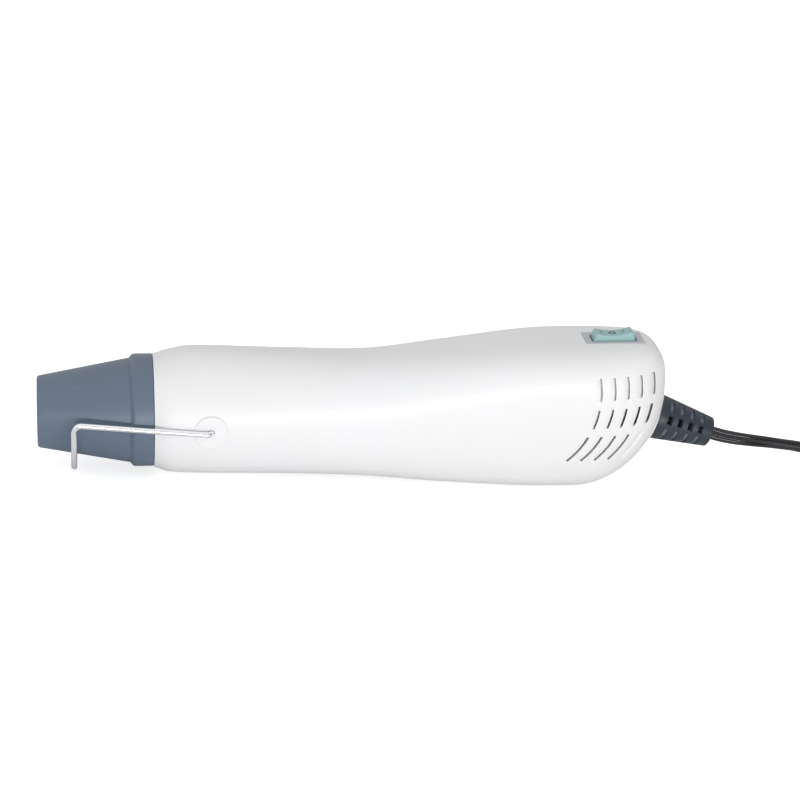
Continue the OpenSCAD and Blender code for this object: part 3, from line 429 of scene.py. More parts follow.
def moulded_grain():
    """Fine pebbled skin of moulded plastic: two sizes of noise as a height, and a slow mask."""
    tree, given, made = group_with("moulded_grain", {"Grain": 4000.0}, ["Height", "Patches"])
    fine = noise(tree, given["Vector"], given["Grain"], 2.0)
    coarse = noise(tree, given["Vector"], 900.0, 2.0)
    fine, coarse = maths(tree, "MULTIPLY", fine, 0.7), maths(tree, "MULTIPLY", coarse, 0.3)
    feed(tree, made["Height"], maths(tree, "ADD", fine, coarse))
    feed(tree, made["Patches"], remap(tree, noise(tree, given["Vector"], 28.0, 4.0), 0.3, 0.7))
    return tree


def handling_marks():
    """Rubbed spots and hair scratches: stretched noise cut to thin lines, and soft smudges."""
    tree, given, made = group_with("handling_marks", {"Amount": 0.5}, ["Scratches", "Smudges"])
    along_marks = stretched(tree, given["Vector"], (14.0, 420.0, 420.0), (0.3, 0.5, 0.9))
    lines = remap(tree, noise(tree, along_marks, 1.0, 1.0), 0.70, 0.74)
    spots = remap(tree, noise(tree, given["Vector"], 60.0, 5.0, 0.6), 0.45, 0.75)
    feed(tree, made["Scratches"], maths(tree, "MULTIPLY", lines, given["Amount"]))
    feed(tree, made["Smudges"], maths(tree, "MULTIPLY", spots, given["Amount"]))
    return tree


def drawn_streaks():
    """Fine lines along one direction, as drawing or rolling leaves them in metal."""
    tree, given, made = group_with("drawn_streaks", {}, ["Height", "Bands"])
    feed(tree, made["Height"], noise(tree, stretched(tree, given["Vector"], (40.0, 2600.0, 2600.0)), 1.0))
    feed(tree, made["Bands"], noise(tree, given["Vector"], 350.0))
    return tree


GRAIN, MARKS, STREAKS = moulded_grain(), handling_marks(), drawn_streaks()


class Finish:
    """A material under construction: its tree, its shader and its Object coordinates."""

    def __init__(self, name, base, roughness, **sockets):
        self.name = name
        self.material = bpy.data.materials.new(name)
        self.material.use_nodes = True
        self.tree = self.material.node_tree
        self.shader = self.tree.nodes["Principled BSDF"]
        self.plain = {"Base Color": (*base, 1), "Roughness": roughness, "Normal": None}
        for label, value in {**self.plain, **sockets}.items():
            feed(self.tree, self.shader.inputs[label.replace("_", " ")], value)
        self.place = add_node(self.tree, "TexCoord", {}).outputs["Object"]

    def now(self, label):
        """What feeds a socket of the shader, or else its plain value."""
        links = self.shader.inputs[label].links
        return links[0].from_socket if links else self.plain[label]

    def change(self, label, value):
        """Feeds a socket of the shader."""
        feed(self.tree, self.shader.inputs[label], value)

    def add(self, group, **values):
        """The outputs of a node group on this material's coordinates."""
        return add_node(self.tree, "Group", {"Vector": self.place, **values}, node_tree=group).outputs

    def pattern(self, kind, scale, output):
        """One output of a texture on this material's coordinates."""
        return add_node(self.tree, kind, {"Vector": self.place, "Scale": scale}).outputs[output]

    def colour(self, mask, other, amount=1.0):
        """Mixes the colour there is towards another by a mask."""
        share = maths(self.tree, "MULTIPLY", mask, amount)
        mix = {0: share, 6: self.now("Base Color"), 7: (*other, 1)}
        self.change("Base Color", add_node(self.tree, "Mix", mix, data_type="RGBA").outputs[2])

    def rough(self, mask, amount):
        """Adds an amount times a mask to the roughness there is."""
        more = maths(self.tree, "MULTIPLY", mask, amount)
        self.change("Roughness", maths(self.tree, "ADD", more, self.now("Roughness"), clamp=True))

    def bump(self, height, strength, distance):
        """A bump of the given height in metres, over any there is."""
        sockets = {"Strength": strength, "Distance": distance, "Height": height, "Normal": self.now("Normal")}
        self.change("Normal", add_node(self.tree, "Bump", sockets).outputs["Normal"])


# Finishes
def plastic(name, base, roughness, patch, grain=4000.0, bump=0.00002, marks=0.3, **sockets):
    """Moulded plastic: slow colour patches, a fine skin and a few handling marks."""
    finish = Finish(name, base, roughness, **sockets)
    skin = finish.add(GRAIN, Grain=grain)
    worn = finish.add(MARKS, Amount=marks)
    finish.colour(skin["Patches"], patch, 0.6)
    finish.rough(skin["Patches"], 0.06)
    finish.rough(worn["Smudges"], 0.10)
    finish.bump(skin["Height"], 0.35, bump)
    finish.bump(worn["Scratches"], 0.2, -0.00001)
    return finish


def metal(name, base, roughness, dull, bump=0.000006):
    """Drawn or rolled metal: fine streaks in height and roughness, and duller bands."""
    finish = Finish(name, base, roughness, Metallic=1.0)
    lines = finish.add(STREAKS)
    worn = finish.add(MARKS, Amount=0.4)
    finish.colour(lines["Bands"], dull, 0.5)
    finish.rough(lines["Bands"], 0.12)
    finish.rough(worn["Smudges"], 0.08)
    finish.bump(lines["Height"], 0.4, bump)
    return finish


def nozzle_slate():
    """Heat-proof slate coat: fine speckle, paler where it is rubbed, and a satin sheen."""
    finish = Finish("nozzle_slate", (0.108, 0.147, 0.204), 0.42, IOR=1.5)
    skin = finish.add(GRAIN, Grain=7000.0)
    worn = finish.add(MARKS, Amount=0.5)
    finish.colour(skin["Patches"], (0.117, 0.154, 0.212), 0.8)
    finish.colour(worn["Scratches"], (0.2, 0.23, 0.27), 0.35)
    finish.rough(worn["Smudges"], -0.08)
    finish.bump(skin["Height"], 0.5, 0.00002)
    return finish


def mica_board():
    """Pressed mica: amber flakes of different depth, with pale glints."""
    finish = Finish("mica_board", (0.42, 0.33, 0.2), 0.45)
    skin = finish.add(GRAIN, Grain=1800.0)
    flakes = finish.pattern("TexVoronoi", 700.0, "Distance")
    finish.colour(flakes, (0.62, 0.52, 0.34), 0.9)
    finish.colour(skin["Patches"], (0.3, 0.22, 0.13), 0.4)
    finish.rough(flakes, 0.3)
    finish.bump(flakes, 0.4, 0.00005)
    return finish


def heater_alloy():
    """Resistance wire with a dark oxide that varies from turn to turn."""
    finish = metal("heater_alloy", (0.33, 0.31, 0.3), 0.5, (0.14, 0.13, 0.14))
    turns = noise(finish.tree, finish.place, 260.0, 2.0)
    finish.colour(remap(finish.tree, turns, 0.4, 0.65), (0.25, 0.17, 0.12), 0.7)
    return finish


def lead_black():
    """Flexible black PVC: smooth and glossy, with faint dust."""
    finish = Finish("lead_black", (0.011, 0.0125, 0.015), 0.13, IOR=1.52)
    skin = finish.add(GRAIN, Grain=2600.0)
    worn = finish.add(MARKS, Amount=0.6)
    finish.colour(worn["Smudges"], (0.024, 0.025, 0.027), 0.5)
    finish.rough(skin["Patches"], 0.03)
    finish.rough(worn["Smudges"], 0.05)
    finish.bump(skin["Height"], 0.2, 0.000004)
    return finish


def relief_grey():
    """Moulded rubber with painted light and shade: the shallow groove floors above and below are painted paler, as
    if lit, and the deep windows are painted darker, as shade.
    Depth = radius of the taper at this place along its axis, less the distance from that axis."""
    finish = Finish("relief_grey", (0.021, 0.03, 0.041), 0.42, IOR=1.5)
    tree = finish.tree

    def vectors(operation, output, a, b=None):
        """One output of a Vector Math node on two vectors."""
        return add_node(tree, "VectorMath", {0: a, 1: b}, operation=operation).outputs[output]

    way = tuple(RELIEF_DIR @ TO_FRAME)
    offset = vectors("SUBTRACT", "Vector", tuple(placed(RELIEF_AT)), finish.place)
    back = vectors("DOT_PRODUCT", "Value", offset, way)
    away = vectors("LENGTH", "Value", vectors("CROSS_PRODUCT", "Vector", offset, way))
    rise = maths(tree, "MULTIPLY", back, (RELIEF_ROOT - RELIEF_TIP) / TAPER_LEN)
    radius = maths(tree, "MINIMUM", maths(tree, "ADD", rise, RELIEF_TIP * MM), RELIEF_ROOT * MM)
    depth = maths(tree, "SUBTRACT", radius, away)
    # Masks by depth for painted light and shade: shallow groove floors, and deep windows
    deep_shade = remap(tree, depth, 0.002, 0.003)
    shallow = maths(tree, "SUBTRACT", remap(tree, depth, 0.0003, 0.0006), deep_shade, clamp=True)
    skin = finish.add(GRAIN, Grain=2600.0)
    finish.colour(skin["Patches"], (0.027, 0.036, 0.047), 0.7)
    # Painted light: shallow groove floors paler, as if lit. Painted shade: deep windows darker.
    finish.colour(shallow, (0.125, 0.15, 0.19))
    finish.colour(deep_shade, (0.012, 0.014, 0.018))
    finish.rough(deep_shade, -0.2)
    finish.bump(skin["Height"], 0.3, 0.00003)
    return finish


def board_green():
    """Circuit board: solder resist over a faint weave of glass."""
    finish = Finish("board_green", (0.03, 0.14, 0.06), 0.3, Coat_Weight=0.4, Coat_Roughness=0.15)
    weave = finish.pattern("TexWave", 700.0, "Fac")
    finish.colour(weave, (0.04, 0.18, 0.08), 0.6)
    finish.bump(weave, 0.2, 0.00002)
    return finish


FINISHES = [
    plastic("body_white", (0.805, 0.81, 0.822), 0.38, (0.79, 0.79, 0.787), 5200.0, 0.000012, 0.25, IOR=1.5),
    nozzle_slate(),
    plastic("switch_grey", (0.5, 0.505, 0.54), 0.4, (0.46, 0.465, 0.5)),
    plastic("rocker_mint", (0.285, 0.475, 0.46), 0.33, (0.27, 0.46, 0.445), marks=0.2),
    metal("wire_steel", (0.94, 0.94, 0.97), 0.11, (0.86, 0.86, 0.91), 0.000001),
    metal("sheet_steel", (0.6, 0.6, 0.61), 0.35, (0.45, 0.45, 0.46)),
    mica_board(),
    heater_alloy(),
    plastic("ceramic_white", (0.78, 0.75, 0.68), 0.6, (0.68, 0.64, 0.56), 1500.0, 0.00005),
    metal("contact_copper", (0.75, 0.42, 0.22), 0.35, (0.5, 0.25, 0.14)),
    plastic("inner_black", (0.03, 0.031, 0.034), 0.55, (0.045, 0.046, 0.05), 1800.0, 0.00004),
    plastic("fan_plastic", (0.68, 0.67, 0.62), 0.4, (0.6, 0.59, 0.54)),
    board_green(),
    plastic("capacitor_blue", (0.04, 0.1, 0.34), 0.25, (0.03, 0.07, 0.26)),
    lead_black(),
    relief_grey(),
    metal("blade_brass", (0.78, 0.76, 0.7), 0.25, (0.6, 0.57, 0.48)),
    plastic("mark_ink", (0.012, 0.035, 0.035), 0.5, (0.02, 0.045, 0.045)),
]
MATERIALS = {finish.name: finish.material for finish in FINISHES}


# Lead, in millimetres of the shared frame: the free run, then the coil that puts the rest of it
# away, then the tail to the plug. A point of the free run is its place behind the exit, its place
# across, and how much of the exit's height above the floor it keeps
CORD_POINTS = [(12, 0.3, 0.88), (19, 1.3, 0.83), (26, 3.2, 0.77), (33, 6, 0.69), (40, 9.3, 0.6),
               (48, 13.2, 0.47), (56, 17.6, 0.335), (64, 22.2, 0.21), (72, 26.7, 0.105),
               (80, 30.6, 0.037), (88, 33.8, 0.007), (95, 36.1, 0), (101, 37.7, 0), (106, 38.4, 0)]
COIL_TURNS, COIL_OUT, COIL_STEP, COIL_LAYER = 6.5, 38.4, 3.3, 6.3
COIL_X = 117.0
TAIL_LEN = 18.0
LIE_Z = LEAD_W / 2
EXIT = placed(RELIEF_AT) / MM
EXIT_DIR = RELIEF_DIR @ TO_FRAME
# The flat lead leans towards the viewer on its way to the floor. The lean grows over the first
# stretch behind the exit, fades over another, and is nothing past the free run's points
LEAN, LEAN_GROWS, FADE_FROM, FADE_OVER, LEAN_POINTS = math.radians(-38), 38.0, 45.0, 40.0, 90


def coil_line(steps=48):
    """Turns that draw in by one thickness each, climb a layer where they reverse, and draw out.
    Radius = out - step * (half - |t - half|), turning clockwise seen from above."""
    t = np.arange(0, COIL_TURNS + 1e-9, 1 / steps)
    half = COIL_TURNS / 2
    r = COIL_OUT - COIL_STEP * (half - np.abs(t - half))
    z = LIE_Z + COIL_LAYER * smoothstep((t - half + 0.25) / 0.5)
    angle = math.radians(90) - 2 * math.pi * t
    return np.stack([EXIT[0] + COIL_X + r * np.cos(angle), r * np.sin(angle), z], -1)


def lead_line():
    """The lead's centre line from the strain relief to the plug."""
    coil = coil_line()
    points = np.array(CORD_POINTS, float)
    points[:, 2] = LIE_Z + (EXIT[2] - LIE_Z) * points[:, 2]
    points[:, 0] += EXIT[0]
    free = smooth_line(np.vstack([EXIT, EXIT + LEAD_W * EXIT_DIR, points, coil[0] - (LEAD_W, 0, 0)]), 1.6)
    tail = coil[-1] - np.linspace(0, 1, 14)[1:, None] * (LEAD_W + TAIL_LEN, 0, 0)
    return np.vstack([free, coil, tail])


def twin_section(steps=9):
    """Two round cores side by side, joined by a narrow neck."""
    r = LEAD_T / 2
    neck = math.radians(38)
    t = np.linspace(neck - math.pi / 2, 1.5 * math.pi - neck, 2 * steps)
    core = np.stack([r * np.cos(t), LEAD_W / 2 - r + r * np.sin(t)], -1)
    return np.vstack([core, -core])


def make_lead():
    """The twin section along the lead's line, leaning towards the viewer between tool and floor."""
    line = lead_line()
    past = line[:, 0] - EXIT[0]
    leaning = smoothstep(past / LEAN_GROWS) - smoothstep((past - FADE_FROM) / FADE_OVER)
    leaning[LEAN_POINTS:] = 0
    points, faces = outward(*carried(line, twin_section(), (0.0, 0.0, 1.0), LEAN * leaning))
    lead = new_piece("mains_lead", (points * MM, faces), "housing", "lead_black",
                     ["power_cord", "cord_coil"], smooth=60)
    return lead, line * MM


lead, lead_path = make_lead()

# Plug: a grip that widens from a sleeve with rings on it, with finger ribs and two flat blades
SLEEVE_LEN, SWELL_LEN, GRIP_END, GRIP_EDGE = 12.0, 13.0, 39.0, 1.0
SLEEVE_R, SLEEVE_GROWS, GRIP_WIDER = 3.5, 1.4, 6.1
RING_DEEP, RING_PITCH, RING_FLAT = 0.45, 2.4, 1.6
RIB_DEEP, RIB_PITCH, RIBS_FROM, RIBS_TO = 0.5, 2.2, 22.0, 35.0
# How much the grip's power grows from 2, and the share of its width where the ribs begin and fade in
GRIP_SQUARE, FLANK, FLANK_SOFT = 1.4, 0.75, 0.2
BLADE_T, BLADE_HOLE_R, BLADE_HOLE_X = 1.5, 1.6, 4.0


def make_grip():
    """Superellipse sections along the plug: |y/w|^n + |z/h|^n = 1, round at the lead and
    squarer at the front, with finger ribs on the flanks and rings on the sleeve."""
    start = lead_path[-1] / MM
    s = np.concatenate([np.linspace(0, SLEEVE_LEN, 61), np.linspace(SLEEVE_LEN, GRIP_END, 130)[1:],
                        GRIP_END + GRIP_EDGE * np.sin(np.linspace(0, math.pi / 2, 8))[1:]])
    swell = smoothstep((s - SLEEVE_LEN) / SWELL_LEN)
    sleeve = SLEEVE_R + SLEEVE_GROWS * np.clip(s / SLEEVE_LEN, 0, 1)
    front = GRIP_EDGE - np.sqrt(GRIP_EDGE ** 2 - np.clip(s - GRIP_END, 0, GRIP_EDGE) ** 2)
    rings = RING_DEEP * smoothstep(RING_FLAT * np.sin(s * 2 * math.pi / RING_PITCH)) * (s < SLEEVE_LEN - 1)
    w = sleeve + GRIP_WIDER * swell - front - rings
    h = sleeve + (start[2] - SLEEVE_R - SLEEVE_GROWS) * swell - front - rings
    power = 2 / (2 + GRIP_SQUARE * swell[:, None])
    c, d = circle(1, 96).T
    y = w[:, None] * np.sign(c) * np.abs(c) ** power
    z = h[:, None] * np.sign(d) * np.abs(d) ** power
    held = smoothstep((s - RIBS_FROM) / 2) * (1 - smoothstep((s - RIBS_TO) / 2))
    ribs = RIB_DEEP / 2 * (1 + np.cos(s * 2 * math.pi / RIB_PITCH)) * held
    y -= ribs[:, None] * np.sign(c) * smoothstep((np.abs(c) - FLANK) / FLANK_SOFT)
    points = np.stack([start[0] - s[:, None] + 0 * y, start[1] + y, start[2] + z], -1)
    points, faces = outward(points, tube(*points.shape[:2]))
    return new_piece("plug_grip", (points * MM, faces), "housing", "lead_black", ["plug_body"])


def ray_hits(outline, centre, angles):
    """Where rays from centre meet an outline: on the edge a b, at k * d, k = a x e / d x e."""
    ends = outline - centre
    at = np.mod(np.arctan2(ends[:, 1], ends[:, 0]), 2 * math.pi)
    ends = ends[np.argsort(at)]
    i = np.searchsorted(np.sort(at), angles + 1e-9) - 1
    a, edge = ends[i], ends[(i + 1) % len(ends)] - ends[i]
    d = np.stack([np.cos(angles), np.sin(angles)], -1)
    k = (a[:, 0] * edge[:, 1] - a[:, 1] * edge[:, 0]) / (d[:, 0] * edge[:, 1] - d[:, 1] * edge[:, 0])
    return centre + k[:, None] * d


def plate_with_hole(outline, centre, radius, y, z):
    """A flat plate, square to Y, whose outline and round hole have their points at the same angles."""
    corners = np.arctan2(*(outline - centre).T[::-1])
    spokes = np.arctan2(*circle(1, 24).T[::-1])
    angles = np.unique(np.round(np.mod(np.concatenate([corners, spokes]), 2 * math.pi), 6))
    outer = ray_hits(outline, centre, angles)
    inner = centre + radius * np.stack([np.cos(angles), np.sin(angles)], -1)
    low, high = y - BLADE_T / 2, y + BLADE_T / 2
    points = [np.stack([p[:, 0], np.full(len(p), side), z + p[:, 1]], -1)
              for p, side in ((outer, low), (inner, low), (inner, high), (outer, high))]
    return np.stack(points), ring_tube(4, len(angles))


def make_blades():
    """Two flat blades with rounded tips and a hole each, in the CAD blades' box."""
    low, high = (np.array(corner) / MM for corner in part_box("plug_blades"))
    half, middle = (high[2] - low[2]) / 2, (high[2] + low[2]) / 2
    outline = rounded([(low[0], -half), (high[0] + 2, -half), (high[0] + 2, half), (low[0], half)],
                      (1.3, 0, 0, 1.3), 6)
    hole = np.array([low[0] + BLADE_HOLE_X, 0.0])
    points, faces = joined([plate_with_hole(outline, hole, BLADE_HOLE_R, y, middle)
                            for y in (low[1] + BLADE_T / 2, high[1] - BLADE_T / 2)])
    blades = new_piece("plug_blade_pair", (points * MM, faces), "housing", "blade_brass", ["plug_blades"])
    bevel(blades, width=0.18, segments=2, angle=50)
    return blades


plug, blades = make_grip(), make_blades()


# Body: the outline along the axis as place, half width, top and bottom, and how its end rounds
# off: where each of these three begins to close, and the power of that curve
OUTLINE = np.array([
    (BODY_X, 22.5, 22.3, 22.8), (BODY_X + 5.1, 24.4, 23.7, 24.4), (BULGE_X, 25.4, 25.4, 25.2),
    (BULGE_X + 38, 24.9, 23.5, 26.4), (WAIST_X, 24.8, 22.0, 28.1), (WAIST_X + 33, 25.9, 24.5, 31.5),
    (HEEL_X, 27.0, 27.65, 34.1)])
SLOPES = np.zeros_like(OUTLINE)
SLOPES[1:-1] = (OUTLINE[2:] - OUTLINE[:-2]) / (OUTLINE[2:, :1] - OUTLINE[:-2, :1])
ROUND_SIDE, ROUND_TOP, ROUND_BOTTOM = (END_X - 41.5, 2.8), (END_X - 19.6, 3.6), (END_X - 34.8, 1.9)
# How much the section's powers grow from 2 on the way to the heel: above from the bulge on, above
# from the waist on, and below from the bulge on
POWER_TOP, POWER_BACK, POWER_BOTTOM = 0.86, 0.64, 0.21
# How much of the dishes' depth the edges on the parting plane and at the mouth are broken by, how
# far from the edge that dies away, and where it stops doing so at the parting plane
SEAM_BREAK, SEAM_WIDE, SEAM_REACH, LIP_BREAK, LIP_WIDE = 0.10, 0.16, 0.6, 0.35, 0.5

# Vents: five columns of three slots, each an arc of the same radius, as angles from its middle.
# The upper two slots of a column lean back, a little less from each column to the next
VENT_COLUMNS, VENT_PITCH, VENT_X, VENT_Z = 5, 5.6, END_X - 72.5, 13.0
VENT_R, VENT_HALF, VENT_DEEP = 42.3, 0.475, 5.0
VENT_SLOTS = [(-3.0, 9.4), (-19.5, -8.2), (-43.3, -25.0)]
VENT_LEAN, LEAN_LESS = (0.72, 0.64, 0.0), (0.04, 0.07, 0.0)
BLIND_SLOT = (4, 2)
# Their dishes: width and depth, the step beside the slot, how far past a slot's ends they go and
# fade out in degrees, and the distance from the parting plane where they may begin
DISH_WIDE, DISH_DEEP, DISH_EDGE, DISH_STEP = 2.5, 0.5, 0.35, 0.2
DISH_PAST, DISH_SOFT, DISH_FROM_Y = 0.9, 1.2, 8.0
# Openings: room round the switch's plate and the strain relief, a height above the whole body, and
# the holes for the stand's ends
PANEL_ROOM, RELIEF_ROOM, ABOVE_BODY, STAND_HOLE_R = 0.1, 0.12, 45.0, 1.3

# Screws that hold the halves, as places along and up, and the wells that they sit in
SCREWS = [(BODY_X + 21, 18.4), (BODY_X + 21, -18.8), (170.1, 17.5), (170.1, -23.0), (HEEL_X + 8, -25.0)]
WELL_R, WELL_WALL, WELL_FLOOR, SCREW_HOLE_R = 3.0, 1.2, 7.0, 1.5


def along(x, column):
    """Cubic Hermite curve through one column of the outline, level past its end."""
    i = np.clip(np.searchsorted(OUTLINE[:, 0], x, side="right") - 1, 0, len(OUTLINE) - 2)
    h = OUTLINE[i + 1, 0] - OUTLINE[i, 0]
    t = np.clip((x - OUTLINE[i, 0]) / h, 0, 1)
    rise = t ** 2 * (3 - 2 * t)
    return ((1 - rise) * OUTLINE[i, column] + (t ** 3 - 2 * t ** 2 + t) * h * SLOPES[i, column]
            + rise * OUTLINE[i + 1, column] + (t ** 3 - t ** 2) * h * SLOPES[i + 1, column])


def fade(x, start, power, inset):
    """(1 - s^n)^(1/n), where s runs from 0 at start to 1 at the body's end."""
    s = np.clip((x - start) / (END_X - inset - start), 0, 1)
    return (1 - s ** power) ** (1 / power)


def section_at(x, inset):
    """Half width, top and bottom about the section's middle, that middle's height, and what the
    powers of the section's top and bottom add to 2."""
    back = np.clip((x - WAIST_X) / (HEEL_X - WAIST_X), 0, 1)
    middle = HEEL_MID * back
    side = (along(x, 1) - inset) * fade(x, *ROUND_SIDE, inset)
    top = (along(x, 2) - inset - middle) * fade(x, *ROUND_TOP, inset)
    bottom = (along(x, 3) - inset + middle) * fade(x, *ROUND_BOTTOM, inset)
    square = smoothstep((x - BULGE_X) / (HEEL_X - BULGE_X))
    upper = POWER_TOP * square + POWER_BACK * smoothstep(back)
    return side, top, bottom, middle, upper, POWER_BOTTOM * square


def skin(x, a, inset, hand):
    """A point of the body's surface, a radians down from the top: half width * |sin a|^(2/n)
    across, and top or bottom * |cos a|^(2/n) up or down, hand -1 being the near half."""
    side, top, bottom, middle, upper, lower = section_at(x, inset)
    n = 2 + np.where(a < math.pi / 2, upper, lower)
    y = hand * side * np.abs(np.sin(a)) ** (2 / n)
    z = middle + np.where(a < math.pi / 2, top, -bottom) * np.abs(np.cos(a)) ** (2 / n)
    return np.stack([x + 0 * y, y, z], -1)


def skin_y(x, z, inset):
    """How far out the body's surface lies at a place along it and a height."""
    side, top, bottom, middle, upper, lower = section_at(x, inset)
    n = 2 + np.where(z > middle, upper, lower)
    rise = np.abs(z - middle) / np.where(z > middle, top, bottom)
    return side * np.clip(1 - np.clip(rise, 0, 1) ** n, 0, 1) ** (1 / n)


def vent_dish(x, z):
    """Depth, from 0 to 1, of the shallow dishes in front of the slots: full beside the slot and
    nothing a dish's width before it, with soft ends."""
    depth = np.zeros_like(x)
    for column in range(VENT_COLUMNS):
        dx, dz = x - VENT_X - column * VENT_PITCH, z - VENT_Z
        a = np.degrees(np.arctan2(dz, dx))
        before = (VENT_R + DISH_EDGE - np.hypot(dx, dz)) / DISH_WIDE
        shape = np.where(before < 0, 1 + before / DISH_STEP, smoothstep(1 - before))
        shape = shape * (before > -DISH_STEP) * (before <= 1)
        for low, high in VENT_SLOTS:
            ends = (smoothstep((a - low + DISH_PAST) / DISH_SOFT)
                    * smoothstep((high + DISH_PAST - a) / DISH_SOFT))
            depth = np.maximum(depth, shape * ends)
    return depth


def half_stations():
    """Places along the body: closer at the mouth, and over the heel as the sine of even angles."""
    bend = HEEL_X - 4
    front = SHELL_X + (bend - SHELL_X) * np.linspace(0, 1, 76) ** 1.05
    back = bend + (END_X - bend) * np.sin(np.linspace(0, math.pi / 2, 161))
    return np.concatenate([front, back[1:-1]])


def half_angles():
    """Angles down from the top, closest together where the vents are."""
    knots = np.radians([0, 40, 62, 128, 150, 180])
    counts = (18, 22, 88, 16, 12)
    parts = [np.linspace(a, b, n, endpoint=False) for a, b, n in zip(knots, knots[1:], counts)]
    return np.concatenate(parts + [knots[-1:]])


def shell_grid(hand, inset):
    """Outer or inner surface of one half as a grid, with its pole point at the body's end. The
    outer one has the vents' dishes, and broken edges at the mouth and on the parting plane."""
    x = SHELL_X + (half_stations() - SHELL_X) * (END_X - inset - SHELL_X) / (END_X - SHELL_X)
    x, a = np.meshgrid(x, half_angles(), indexing="ij")
    points = skin(x, a, inset, hand)
    if not inset:
        deeper = skin(x, a, DISH_DEEP, hand)
        dish = vent_dish(points[..., 0], points[..., 2]) * (np.abs(points[..., 1]) > DISH_FROM_Y)
        points += (deeper - points) * dish[..., None]
        seam = SEAM_BREAK * np.exp(-np.minimum(np.abs(points[..., 1]), SEAM_REACH) / SEAM_WIDE)
        lip = LIP_BREAK * np.exp(-(x - SHELL_X) / LIP_WIDE)
        points += (deeper - points) * np.clip(seam + lip, 0, 1)[..., None]
    pole = np.array([[END_X - inset, 0.0, HEEL_MID]])
    return np.vstack([points.reshape(-1, 3), pole]), *x.shape


def half_shell(hand):
    """Outer and inner grids, joined along the mouth and the parting plane."""
    outer, rows, cols = shell_grid(hand, 0.0)
    inner, _, _ = shell_grid(hand, WALL)
    pole, last, inside = rows * cols, (rows - 1) * cols, len(outer)
    faces = quads(rows, cols) + [[last + j, last + j + 1, pole] for j in range(cols - 1)]
    faces += [[i + inside for i in face] for face in flipped(faces)]
    border = [*range(cols - 1, 0, -1), *range(0, pole, cols), pole, *range(pole - 1, cols - 1, -cols)]
    faces += [[p, q, q + inside, p + inside] for p, q in zip(border, border[1:] + border[:1])]
    return np.vstack([outer, inner]), faces


def vent_cutters(hand):
    """A sector of a ring for each slot of one side. The upper two of a column lean back as they go
    in, so that a wall of each catches the light."""
    cutters = []
    for column, row in np.ndindex(VENT_COLUMNS, len(VENT_SLOTS)):
        if (column, row) == BLIND_SLOT:
            continue
        middle = VENT_X + column * VENT_PITCH
        lean = VENT_LEAN[row] - LEAN_LESS[row] * column
        a = np.radians(np.linspace(*VENT_SLOTS[row], 20))
        c, s = np.cos(a), np.sin(a)
        face = skin_y(middle + VENT_R * c, VENT_Z + VENT_R * s, 0.0)
        near, far = VENT_R - VENT_HALF, VENT_R + VENT_HALF
        corners = [np.stack([middle + r * c - lean * out, hand * (face + out), VENT_Z + r * s], -1)
                   for r, out in ((near, -VENT_DEEP), (far, -VENT_DEEP), (far, VENT_DEEP), (near, VENT_DEEP))]
        cutters.append((np.stack(corners, 1), tube(20, 4)))
    return cutters


def panel_layers(layers):
    """Outlines round the switch's middle, each at its height."""
    return np.stack([np.column_stack([outline + (PANEL_X, 0), np.full(len(outline), z)])
                     for outline, z in layers])


def panel_cutter():
    """The opening that the switch's plate sits in, through the top of the body."""
    outline = rounded_box(PANEL_LEN / 2 + PANEL_ROOM, PANEL_WIDTH / 2 + PANEL_ROOM, 0.7, 4)
    return panel_layers([(outline, PANEL_Z - PANEL_T), (outline, ABOVE_BODY)]), tube(2, len(outline))


def make_half(name, hand, node):
    """One body half, with its vents and the openings for switch, strain relief and stand."""
    half = new_solid(name, [half_shell(hand)], "housing", "body_white", [node])
    cutters = vent_cutters(hand) + [
        panel_cutter(), rod(RELIEF_AT - 40 * RELIEF_DIR, RELIEF_DIR, 50, RELIEF_ROOT + RELIEF_ROOM, 96),
        rod((PIVOT_X, hand * 15.0, 0), (0, hand, 0), 20, STAND_HOLE_R, 32)]
    if hand > 0:
        cutters += [rod((x, 8.0, z), (0, 1, 0), 30, WELL_R) for x, z in SCREWS]
    cut(half, cutters)


def make_pads():
    """Round pads that carry the stand's ends: a low disc with a soft edge and a small bore."""
    bore, boss, edge, height = 1.28, 4, 6.7, 4.2
    profile = rounded([(bore, -2), (boss, -2), (boss, 0), (edge, 0), (edge, height), (bore, height)],
                      (0, 0, 0, 0, 0.38, 0.15))
    pads = [turn(profile, (PIVOT_X, hand * (PAD_Y - height), 0), (0, hand, 0), (1, 0, 0), 72)
            for hand in (-1, 1)]
    new_solid("stand_pads", pads, "housing", "body_white")


def post(x, z, profile, inset, steps, hand=1):
    """A hollow post across the body: rings of (radius, distance from the parting plane), where
    None is the distance to the body's skin, less an inset."""
    rings = []
    for r, level in profile:
        px, pz = (circle(r, steps) + (x, z)).T
        y = skin_y(px, pz, inset) if level is None else np.full(steps, level)
        rings.append(np.stack([px, hand * y, pz], -1))
    return np.stack(rings), ring_tube(len(profile), steps)


def make_wells():
    """Walls of the screw wells: tubes from a floor with a hole out to just under the skin."""
    foot, wide = WELL_FLOOR - 1.5, WELL_R + WELL_WALL
    profile = [(SCREW_HOLE_R, foot), (wide, foot), (wide, None), (WELL_R, None), (WELL_R, WELL_FLOOR),
               (SCREW_HOLE_R, WELL_FLOOR)]
    new_solid("screw_wells", [post(x, z, profile, 0.5, 48) for x, z in SCREWS], "housing", "body_white")


make_half("left_half", -1, "left_shell")
make_half("right_half", 1, "right_shell")
make_pads()
make_wells()

# Nozzle: the cone's outlet with its turned-in lip, its sheet and the length inside the collar, and
# the collar with its bevelled front, its neck in the body's mouth and the flange behind that
LIP_R, LIP_T, LIP_LEN = 12.4, 0.6, 4.0
OUTLET_R, CONE_R, SHEET, OVERLAP = 14.1, 20.7, 1.0, 5.4
COLLAR_R, COLLAR_EDGE, NECK_R, COLLAR_BORE = 22.3, 1.3, 20.0, 18.4


